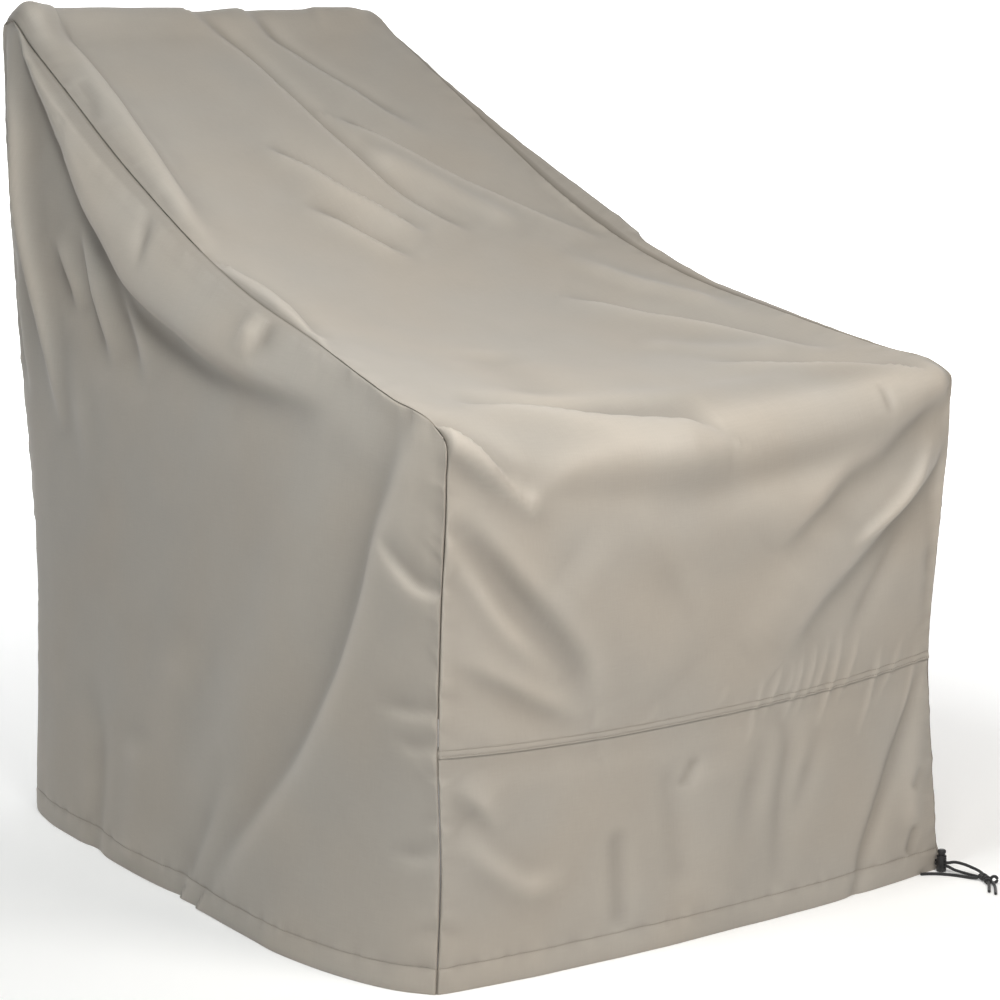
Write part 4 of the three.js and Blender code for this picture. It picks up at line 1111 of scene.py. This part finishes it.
back, *back_grid = strip_panel(
    "back_cloth", back_rows, BACK_FOLDS, (LEFT_BACK_SEED, RIGHT_BACK_SEED),
    hold=lambda length: smooth((length - TOP) / BACK_FADE),
    relief=back_relief, end_seams=(TOP,),
)
left, *left_grid = side_panel("left_side_cloth", -1, LEFT_FOLDS, (LEFT_SEED, LEFT_BACK_SEED))
right, *right_grid = side_panel("right_side_cloth", 1, RIGHT_FOLDS, (RIGHT_SEED, RIGHT_BACK_SEED))

# %% [markdown]
# A row of stitches repeats one small shape along a line, which is work for Geometry Nodes. The tree takes a
# line of points, spaces the stitches evenly along it, turns each one along the line and makes them real, so
# that they can be exported. Thread is a soft, slightly flattened bead between two needle holes.

# %% Build the tree that sews a row of stitches
STITCH_SIZES = [("Stitch spacing", 0.0034), ("Stitch length", 0.0027), ("Thread width", 0.0009)]
BEAD_SEGMENTS, BEAD_RINGS, BEAD_RADIUS = 6, 5, 0.5


def add_node(tree, kind, inputs=None, **settings):
    """A new node, with its settings made and each input either linked or set to a value."""
    node = tree.nodes.new(kind)
    for key, value in settings.items():
        setattr(node, key, value)
    for key, value in (inputs or {}).items():
        if isinstance(value, bpy.types.NodeSocket):
            tree.links.new(value, node.inputs[key])
        else:
            node.inputs[key].default_value = value
    return node


def stitch_tree():
    tree = bpy.data.node_groups.new("row_of_stitches", "GeometryNodeTree")
    sides = tree.interface
    sides.new_socket("Line", in_out="INPUT", socket_type="NodeSocketGeometry")
    for name, value in STITCH_SIZES:
        sides.new_socket(name, in_out="INPUT", socket_type="NodeSocketFloat").default_value = value
    sides.new_socket("Thread", in_out="INPUT", socket_type="NodeSocketMaterial")
    sides.new_socket("Stitches", in_out="OUTPUT", socket_type="NodeSocketGeometry")

    def add(kind, inputs, **settings):
        return add_node(tree, kind, inputs, **settings).outputs[0]

    given = add_node(tree, "NodeGroupInput").outputs
    curve, spacing = add("GeometryNodeMeshToCurve", {"Mesh": given["Line"]}), given["Stitch spacing"]
    spaced = add("GeometryNodeResampleCurve", {"Curve": curve, "Length": spacing}, mode="LENGTH")
    tangent, width = add("GeometryNodeInputTangent", {}), given["Thread width"]
    turn = add("FunctionNodeAlignRotationToVector", {"Vector": tangent}, axis="X")
    size = add("ShaderNodeCombineXYZ", {"X": given["Stitch length"], "Y": width, "Z": width})
    bead = add("GeometryNodeMeshUVSphere",
               {"Segments": BEAD_SEGMENTS, "Rings": BEAD_RINGS, "Radius": BEAD_RADIUS})
    row_of_beads = add("GeometryNodeInstanceOnPoints",
                       {"Points": spaced, "Instance": bead, "Rotation": turn, "Scale": size})
    real = add("GeometryNodeRealizeInstances", {"Geometry": row_of_beads})
    soft = add("GeometryNodeSetShadeSmooth", {"Geometry": real})
    finished = add("GeometryNodeSetMaterial", {"Geometry": soft, "Material": given["Thread"]})
    add_node(tree, "NodeGroupOutput", {"Stitches": finished})
    return tree


STITCH_TREE = stitch_tree()
print("stitch tree has", len(STITCH_TREE.nodes), "nodes")

# %% [markdown]
# Every finish starts from one plain surface, and a few short helpers add its pattern: noise for what is
# uneven, a range that stretches one value onto another, sums, mixed colours and bump.

# %% Gather the tools for mixing finishes
def new_material(name, colour, roughness, specular=0.3, sheen=0.0):
    made = bpy.data.materials.new(name)
    made.use_nodes = True
    surface = made.node_tree.nodes["Principled BSDF"]
    surface.inputs["Base Color"].default_value = (*colour, 1)
    surface.inputs["Roughness"].default_value = roughness
    surface.inputs["Specular IOR Level"].default_value = specular
    surface.inputs["Sheen Weight"].default_value = sheen
    return made, made.node_tree, surface


def map_of(tree, name):
    """A piece's own flat map: its coordinates, and along and across apart."""
    flat = add_node(tree, "ShaderNodeUVMap", uv_map=name).outputs["UV"]
    return flat, *add_node(tree, "ShaderNodeSeparateXYZ", {0: flat}).outputs[:2]


def object_place(tree):
    return add_node(tree, "ShaderNodeTexCoord").outputs["Object"]


def noise(tree, place, scale, detail, roughness=0.5):
    inputs = {"Vector": place, "Scale": scale, "Detail": detail, "Roughness": roughness}
    return add_node(tree, "ShaderNodeTexNoise", inputs).outputs[0]


def ranged(tree, value, start, stop, low=0.0, high=1.0):
    """Stretches the range from start to stop onto the range from low to high."""
    inputs = {"Value": value, "From Min": start, "From Max": stop, "To Min": low, "To Max": high}
    return add_node(tree, "ShaderNodeMapRange", inputs).outputs[0]


def calculate(tree, operation, first, second=0.0):
    return add_node(tree, "ShaderNodeMath", {0: first, 1: second}, operation=operation).outputs[0]


def weighted(tree, *parts):
    """The sum of several values, each times its own weight."""
    terms = [calculate(tree, "MULTIPLY", value, weight) for value, weight in parts]
    total = terms[0]
    for term in terms[1:]:
        total = calculate(tree, "ADD", total, term)
    return total


def mixed_colour(tree, amount, first, second, blend="MIX"):
    node = add_node(tree, "ShaderNodeMix", {"Factor": amount}, data_type="RGBA", blend_type=blend)
    for key, value in (("A", first), ("B", second)):
        socket = next(s for s in node.inputs if s.name == key and s.type == "RGBA")
        if isinstance(value, bpy.types.NodeSocket):
            tree.links.new(value, socket)
        else:
            socket.default_value = (*value, 1)
    return next(s for s in node.outputs if s.type == "RGBA")


def give_bump(tree, surface, height, distance, strength):
    inputs = {"Height": height, "Distance": distance, "Strength": strength}
    tree.links.new(add_node(tree, "ShaderNodeBump", inputs).outputs[0], surface.inputs["Normal"])


# %% [markdown]
# The cloth is a fine plain weave with a few thicker threads both ways. Its colour has a painted highlight
# where it stands out and painted shade in its hollows, it has cool and warm patches, and close to its seams
# it has a painted shadow of the seam's groove. Thread and cloth are the same taupe, with the thread a shade
# darker.

# %% Mix the cloth and its thread
TAUPE = (0.437, 0.396, 0.345)
TAUPE_SHADE = (0.385, 0.349, 0.303)
# painted shadow of the seam's groove: the colour the cloth turns to within a few millimetres of a seam
SEAM_PAINTED_SHADOW, SEAM_SHADOW_WIDTH, SEAM_SHADOW_SHARE = (0.17, 0.145, 0.115), 0.0028, 0.75
# painted highlight on the ridges and painted shade in the hollows, as factors on the cloth's colour
RIDGE_PAINTED_HIGHLIGHT, HOLLOW_PAINTED_SHADE = 1.10, 0.78
SHEEN_TINT = (0.95, 0.93, 0.9, 1)
COOL_CAST, WARM_CAST = (0.988, 1.0, 1.012), (1.012, 1.0, 0.985)
THREAD_PITCH = 0.0011
SLUB_LONG, SLUB_THIN = 45, 900
THREAD_COLOUR, THREAD_DARK, THREAD_LIGHT = (0.30, 0.27, 0.23), (0.24, 0.215, 0.18), (0.36, 0.325, 0.28)


def cloth_material():
    made, tree, surface = new_material("taupe_polyester", TAUPE, roughness=0.62, specular=0.35, sheen=0.12)
    surface.inputs["Sheen Roughness"].default_value = 0.45
    surface.inputs["Sheen Tint"].default_value = SHEEN_TINT
    (flat, along, across), place = map_of(tree, "cloth"), object_place(tree)
    turns = math.pi / THREAD_PITCH
    angles = [calculate(tree, "MULTIPLY", way, turns) for way in (along, across)]
    weave = calculate(tree, "MULTIPLY", *(calculate(tree, "SINE", angle) for angle in angles))

    def streaks(x, y):
        stretched = add_node(tree, "ShaderNodeMapping", {"Vector": flat, "Scale": (x, y, 1)}).outputs[0]
        return noise(tree, stretched, scale=1.0, detail=2.0)

    slub = calculate(tree, "ADD", streaks(SLUB_LONG, SLUB_THIN), streaks(SLUB_THIN, SLUB_LONG))
    clouds = noise(tree, place, scale=5.5, detail=4.0, roughness=0.55)
    tone = weighted(tree, (slub, 0.42), (weave, 0.10), (clouds, 0.35))
    plain = mixed_colour(tree, ranged(tree, tone, 0.30, 0.90), TAUPE_SHADE, TAUPE)
    patches = noise(tree, place, scale=6.5, detail=1.5, roughness=0.45)
    cast = mixed_colour(tree, ranged(tree, patches, 0.36, 0.64), COOL_CAST, WARM_CAST)
    body = mixed_colour(tree, 1.0, plain, cast, "MULTIPLY")
    # painted shadow of the seam's groove, darkest right at the seam
    near = add_node(tree, "ShaderNodeAttribute", attribute_name="seam_distance").outputs["Fac"]
    shade = ranged(tree, near, 0.0, SEAM_SHADOW_WIDTH, SEAM_SHADOW_SHARE, 0.0)
    seam_shadowed = mixed_colour(tree, shade, body, SEAM_PAINTED_SHADOW)
    # painted shade in the hollows and painted highlight on the ridges of the cloth
    hollow = add_node(tree, "ShaderNodeAttribute", attribute_name="hollow").outputs["Fac"]
    painted_hollow_shade = ranged(tree, hollow, -1.0, 1.0, RIDGE_PAINTED_HIGHLIGHT, HOLLOW_PAINTED_SHADE)
    shaded = add_node(tree, "ShaderNodeVectorMath", {0: seam_shadowed, "Scale": painted_hollow_shade}, operation="SCALE")
    tree.links.new(shaded.outputs[0], surface.inputs["Base Color"])
    give_bump(tree, surface, weighted(tree, (weave, 0.5), (slub, 0.9)), distance=0.00012, strength=0.35)
    return made


def thread_material():
    made, tree, surface = new_material("taupe_thread", THREAD_COLOUR, roughness=0.6, sheen=0.1)
    grain = noise(tree, object_place(tree), scale=700.0, detail=2.0)
    tree.links.new(mixed_colour(tree, grain, THREAD_DARK, THREAD_LIGHT), surface.inputs["Base Color"])
    return made


CLOTH_LOOK, THREAD_LOOK = cloth_material(), thread_material()
for piece in (skirt, centre, back, left, right):
    piece.data.materials.append(CLOTH_LOOK)
print("finishes:", [m.name for m in bpy.data.materials])

# %% [markdown]
# The cord's yarns wind round it much finer than its braid, so they are colour and bump on its own map. The
# lock is black moulded plastic, a little uneven in its shine, as parts from a mould are.

# %% Mix the cord and the plastic
YARN_PITCH, YARNS = 0.0012, 16
CORD_COLOUR, CORD_DARK, CORD_LIGHT = (0.012, 0.012, 0.013), (0.008, 0.008, 0.009), (0.030, 0.030, 0.032)
PLASTIC_COLOUR = (0.014, 0.014, 0.015)


def cord_material():
    made, tree, surface = new_material("black_cord", CORD_COLOUR, roughness=0.55, specular=0.35, sheen=0.2)
    _, along, across = map_of(tree, "cord")
    wound = weighted(tree, (along, 2 * math.pi / YARN_PITCH), (across, 2 * math.pi * YARNS))
    yarn = calculate(tree, "SINE", wound)
    amount = calculate(tree, "MULTIPLY_ADD", yarn, 0.5)
    amount.node.inputs[2].default_value = 0.5
    tree.links.new(mixed_colour(tree, amount, CORD_DARK, CORD_LIGHT), surface.inputs["Base Color"])
    give_bump(tree, surface, yarn, distance=0.0001, strength=0.4)
    return made


def plastic_material():
    made, tree, surface = new_material(
        "black_moulded_plastic", PLASTIC_COLOUR, roughness=0.42, specular=0.5,
    )
    grain = noise(tree, object_place(tree), scale=1400.0, detail=3.0)
    tree.links.new(ranged(tree, grain, 0.0, 1.0, 0.34, 0.5), surface.inputs["Roughness"])
    give_bump(tree, surface, grain, distance=0.00005, strength=0.5)
    return made


CORD_LOOK, PLASTIC_LOOK = cord_material(), plastic_material()
for piece in (*strands.values(), knot):
    piece.data.materials.append(CORD_LOOK)
print("finishes:", [m.name for m in bpy.data.materials])

# %% [markdown]
# The lapped seam has two rows of stitches and the hem has one. Each row follows the panel's own points, a
# hair above the cloth, and stops short of the seams at its ends.

# %% Sew the rows along the hem and the lapped seam
STITCH_LIFT, SAME = 0.15, 0.01
ROW_ENDS = 4


def sewn_rows(name, lines):
    mesh = bpy.data.meshes.new(name)
    points, edges = [], []
    for line in lines:
        edges += [(len(points) + i, len(points) + i + 1) for i in range(len(line) - 1)]
        points += row(line).tolist()
    mesh.from_pydata(points, edges, [])
    made = linked(name, mesh)
    sewing = made.modifiers.new("stitches", "NODES")
    sewing.node_group = STITCH_TREE
    inputs = {s.name: s.identifier for s in STITCH_TREE.interface.items_tree if s.in_out == "INPUT"}
    sewing[inputs["Thread"]] = THREAD_LOOK
    made_plain(made)
    return made


def line_on(points, normals, rows, at):
    """The line of a panel's points at a distance, lifted a hair off the cloth."""
    found = [i for i, (place, depth) in enumerate(rows) if depth == FACE and abs(place - at) < SAME]
    index = found[0]
    return (points[index] + normals[index] * STITCH_LIFT)[ROW_ENDS:-ROW_ENDS]


lap_stitches = sewn_rows("lapped_seam_stitches", [
    line_on(*centre_grid, centre_rows, FELL + at) for at in LAP_ROWS
])
hem_lines = {
    "skirt_hem_stitches": line_on(*skirt_grid, skirt_rows, HEM_DEPTH),
    "back_hem_stitches": line_on(*back_grid, back_rows, END - HEM_DEPTH),
    "left_hem_stitches": line_on(*left_grid, HEM_ROWS, HEM_DEPTH),
    "right_hem_stitches": line_on(*right_grid, HEM_ROWS, HEM_DEPTH),
}
hem_stitches = {name: sewn_rows(name, [line]) for name, line in hem_lines.items()}

# %% [markdown]
# The plastic pieces of the cord lock are turned. Turning a profile round an axis, cutting a slot across it
# and rounding the edges with a bevel gives each of them.

# %% Turn a profile and cut its slot
SLOT_HALF_WIDTH, SLOT_LENGTH = CORD_RADIUS + 0.45, 40.0
TURNED_SIDES = 64
ROUNDING, ROUNDED_FROM, SHARP_FROM = 0.25, 35, 40


def on_lock(points):
    """From the lock's own upright axis to its place and turn on the cover."""
    c, s = math.cos(LOCK_TURN), math.sin(LOCK_TURN)
    turn = np.array([[c, -s, 0], [s, c, 0], [0, 0, 1]])
    return row(np.array(points) @ turn.T + LOCK_AT).tolist()


def turned_faces(rings):
    """Squares between rings of points, and fans to the two middle points that follow them."""
    n, last = TURNED_SIDES, (rings - 1) * TURNED_SIDES
    steps = [(j, (j + 1) % n) for j in range(n)]
    starts = [i * n for i in range(rings - 1)]
    faces = [(a + j, a + k, a + n + k, a + n + j) for a in starts for j, k in steps]
    faces += [(k, j, last + n) for j, k in steps]
    return faces + [(last + j, last + k, last + n + 1) for j, k in steps]


def slot_cutter(low, high):
    half, deep = SLOT_HALF_WIDTH, SLOT_LENGTH / 2
    corners = [(x, y, z) for z in (low, high) for y in (-deep, deep) for x in (-half, half)]
    walls = [(0, 2, 3, 1), (4, 5, 7, 6), (0, 1, 5, 4), (2, 6, 7, 3), (0, 4, 6, 2), (1, 3, 7, 5)]
    mesh = bpy.data.meshes.new("slot")
    mesh.from_pydata(on_lock(corners), [], walls)
    return linked("slot", mesh)


def turned(name, profile, slot_low, slot_high):
    """A solid of revolution on the lock's axis, with a slot across it."""
    angles = np.arange(TURNED_SIDES) * 2 * math.pi / TURNED_SIDES
    points = [(r * math.cos(a), r * math.sin(a), z) for r, z in profile[1:-1] for a in angles]
    points += [(0, 0, profile[0][1]), (0, 0, profile[-1][1])]
    mesh = bpy.data.meshes.new(name)
    mesh.from_pydata(on_lock(points), [], turned_faces(len(profile) - 2))
    made, cutter = linked(name, mesh), slot_cutter(slot_low, slot_high)
    cut = made.modifiers.new("slot", "BOOLEAN")
    cut.operation, cut.object, cut.solver = "DIFFERENCE", cutter, "EXACT"
    rounded = made.modifiers.new("edges", "BEVEL")
    rounded.width, rounded.segments, rounded.limit_method = ROUNDING / 1000, 3, "ANGLE"
    rounded.angle_limit = math.radians(ROUNDED_FROM)
    solid = made_plain(made)
    bpy.data.objects.remove(cutter)
    solid.set_sharp_from_angle(angle=math.radians(SHARP_FROM))
    solid.materials.clear()
    solid.materials.append(PLASTIC_LOOK)
    return made


print("a turned piece has", TURNED_SIDES, "sides")

# %% [markdown]
# A slot for two cords goes through both pieces: a barrel, and a button on a stem that a spring pushes up.
# The stem's slot is longer by the button's travel, so the cords stay free while it is pressed.

# %% Turn the lock's barrel and button
BARREL_TOP, BARREL_BASE, BARREL_FLOOR = 21.5, 0.4, 1.5
SLOT_SPARE = 0.4
SLOT_LOW, SLOT_HIGH = LOWER_CORD - CORD_RADIUS - SLOT_SPARE, UPPER_CORD + CORD_RADIUS + SLOT_SPARE
PRESS = 2.8
barrel = turned("turned_barrel", [
    (0, BARREL_BASE), (5.2, BARREL_BASE), (5.9, BARREL_BASE + 0.3), (6.3, BARREL_BASE + 1.0),
    (6.3, 18.2), (5.95, 18.6), (5.95, 19.2), (6.3, 19.6),
    (6.3, BARREL_TOP - 0.8), (5.9, BARREL_TOP - 0.2), (5.4, BARREL_TOP), (4.9, BARREL_TOP),
    (4.9, BARREL_BASE + BARREL_FLOOR), (0, BARREL_BASE + BARREL_FLOOR),
], SLOT_LOW, SLOT_HIGH)
button_base = BARREL_TOP + 0.4 + PRESS
button = turned("turned_button", [
    (0, SLOT_LOW - 1.2), (4.2, SLOT_LOW - 1.2), (4.5, SLOT_LOW - 0.9), (4.5, button_base),
    (5.2, button_base), (5.5, button_base + 0.3), (5.5, button_base + 2.5), (5.2, button_base + 3.4),
    (4.4, button_base + 4.1), (3.0, button_base + 4.45), (1.6, button_base + 4.5), (0, button_base + 4.5),
], SLOT_LOW, SLOT_HIGH + PRESS)

# %% [markdown]
# A pale floor that curves up into a backdrop has no horizon. It glows a little towards the back, so the
# backdrop stays white while the floor near the cover keeps its soft shadow.

# %% Roll out the studio's paper
PAPER_HALF_WIDTH, PAPER_FRONT, PAPER_BEND, PAPER_RADIUS, PAPER_TOP = 12.0, -9.0, 4.0, 3.0, 9.0
BEND_STEPS = 12
PAPER, PAPER_DARK, PAPER_LIGHT = (0.88, 0.88, 0.875), (0.87, 0.87, 0.865), (0.89, 0.89, 0.885)
GLOW_FROM, GLOW_TO, GLOW_NEAR, GLOW_FAR = -0.8, 1.2, 0.10, 0.80


def paper_outline():
    """The paper's section from front to top, as (y, z) in metres."""
    bend = np.radians(np.linspace(0, 90, BEND_STEPS + 1)[1:])
    curve = [(PAPER_BEND + PAPER_RADIUS * math.sin(a), PAPER_RADIUS * (1 - math.cos(a))) for a in bend]
    return [(PAPER_FRONT, 0.0), (PAPER_BEND, 0.0), *curve, (PAPER_BEND + PAPER_RADIUS, PAPER_TOP)]


def floor_and_backdrop():
    c, s = math.cos(math.radians(-EYE_TURN)), math.sin(math.radians(-EYE_TURN))
    level = -HANGS_AT[2] / 1000
    outline = paper_outline()
    points = [
        (x * c - y * s, x * s + y * c, z + level)
        for x in (-PAPER_HALF_WIDTH, PAPER_HALF_WIDTH) for y, z in outline
    ]
    n = len(outline)
    mesh = bpy.data.meshes.new("studio_floor")
    mesh.from_pydata(points, [], [(i, n + i, n + i + 1, i + 1) for i in range(n - 1)])
    mesh.shade_smooth()
    look, tree, surface = new_material("pale_paper", PAPER, roughness=0.9, specular=0.1)
    surface.inputs["Emission Color"].default_value = (1, 1, 1, 1)
    place = object_place(tree)
    axes = add_node(tree, "ShaderNodeSeparateXYZ", {0: place}).outputs
    behind = calculate(tree, "SUBTRACT", calculate(tree, "MULTIPLY", axes[1], c),
                       calculate(tree, "MULTIPLY", axes[0], s))
    glow = ranged(tree, behind, GLOW_FROM, GLOW_TO, GLOW_NEAR, GLOW_FAR)
    tree.links.new(glow, surface.inputs["Emission Strength"])
    fibres = noise(tree, place, scale=2.0, detail=2.0)
    tree.links.new(mixed_colour(tree, fibres, PAPER_DARK, PAPER_LIGHT), surface.inputs["Base Color"])
    mesh.materials.append(look)
    return linked("studio_floor", mesh)


studio = floor_and_backdrop()
print("paper has", len(studio.data.polygons), "faces")

# %% [markdown]
# Soft lamps from the upper left light the folds of the slope and of the shoulder, and two at the front
# light those of the front panel. They are small and close enough that a fold still has a light side and a
# dark one.

# %% Set up the lamps
MIDDLE, SEAT = (0, -150, 500), (0, -300, 500)
LAMPS = [
    # name, turn, rise, distance, middle, size, power, colour
    ("left_lamp", -66, 30, 3000, MIDDLE, 1.0, 9, (0.88, 0.95, 1.0)),
    ("high_lamp", -80, 57, 2300, SEAT, 0.45, 24, (0.95, 0.99, 1.0)),
    ("key_lamp", -35, 40, 1900, SEAT, 0.6, 14, (1.0, 0.97, 0.93)),
    ("front_lamp", 5, 42, 1900, SEAT, 0.6, 19, (1.0, 0.96, 0.91)),
]
BACKDROP_LAMP_AT, BACKDROP_MIDDLE = (2000, 2600, 2600), (3800, 4900, 500)
SKY_COLOUR, SKY_STRENGTH = (0.97, 0.985, 1.0, 1), 0.05


def lamp(name, place, target, size, power, colour):
    data = bpy.data.lights.new(name, "AREA")
    data.shape, data.size, data.energy, data.color = "SQUARE", size, power, colour
    made = linked(name, data)
    made.location = row(place)
    way = made.location - type(made.location)(row(target))
    made.rotation_euler = way.to_track_quat("Z", "Y").to_euler()


def on_dome(turn, rise, distance, middle):
    """A place round the cover: turn is the angle from the front, rise the angle above the floor."""
    a, e = math.radians(turn), math.radians(rise)
    level = distance * math.cos(e)
    return np.array(middle) + [level * math.sin(a), -level * math.cos(a), distance * math.sin(e)]


for name, turn, rise, distance, middle, size, power, colour in LAMPS:
    lamp(name, on_dome(turn, rise, distance, middle), middle, size, power, colour)
lamp("backdrop_lamp", BACKDROP_LAMP_AT, BACKDROP_MIDDLE, 2.4, 110, (1.0, 1.0, 1.0))
world = bpy.data.worlds.new("studio")
world.use_nodes = True
sky = world.node_tree.nodes["Background"]
sky.inputs["Color"].default_value = SKY_COLOUR
sky.inputs["Strength"].default_value = SKY_STRENGTH
bpy.context.scene.world = world
bpy.context.scene.view_settings.view_transform = "Standard"
print("lamps:", [light.name for light in bpy.data.lights])

# %% [markdown]
# Each piece now says which body it moves with and which solid it stands for. The button is the only piece
# that moves. Cloth and cords are also declared with the size they were cut to.

# %% Tie every piece to its body and declare cloth and cords
OF_COVER = {
    skirt: ("front_skirt", "cover_cloth"),
    centre: ("centre_panel", "cover_cloth"),
    back: ("back_panel", "cover_cloth"),
    left: ("left_side_panel", "cover_cloth"),
    right: ("right_side_panel", "cover_cloth"),
    barrel: ("lock_barrel", "lock_plastic"),
    knot: ("cord_knot", "cord"),
    lap_stitches: (None, "cover_cloth"),
}
OF_COVER.update({piece: (None, "cover_cloth") for piece in hem_stitches.values()})
OF_COVER.update({strands[name]: (STRANDS[name][0], "cord") for name in strands})
for piece, (node, slot) in OF_COVER.items():
    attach(piece, "cover")
    if node:
        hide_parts(node)
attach(button, "button")
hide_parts("lock_button")

for name, strand in strands.items():
    path = strand_paths[name]
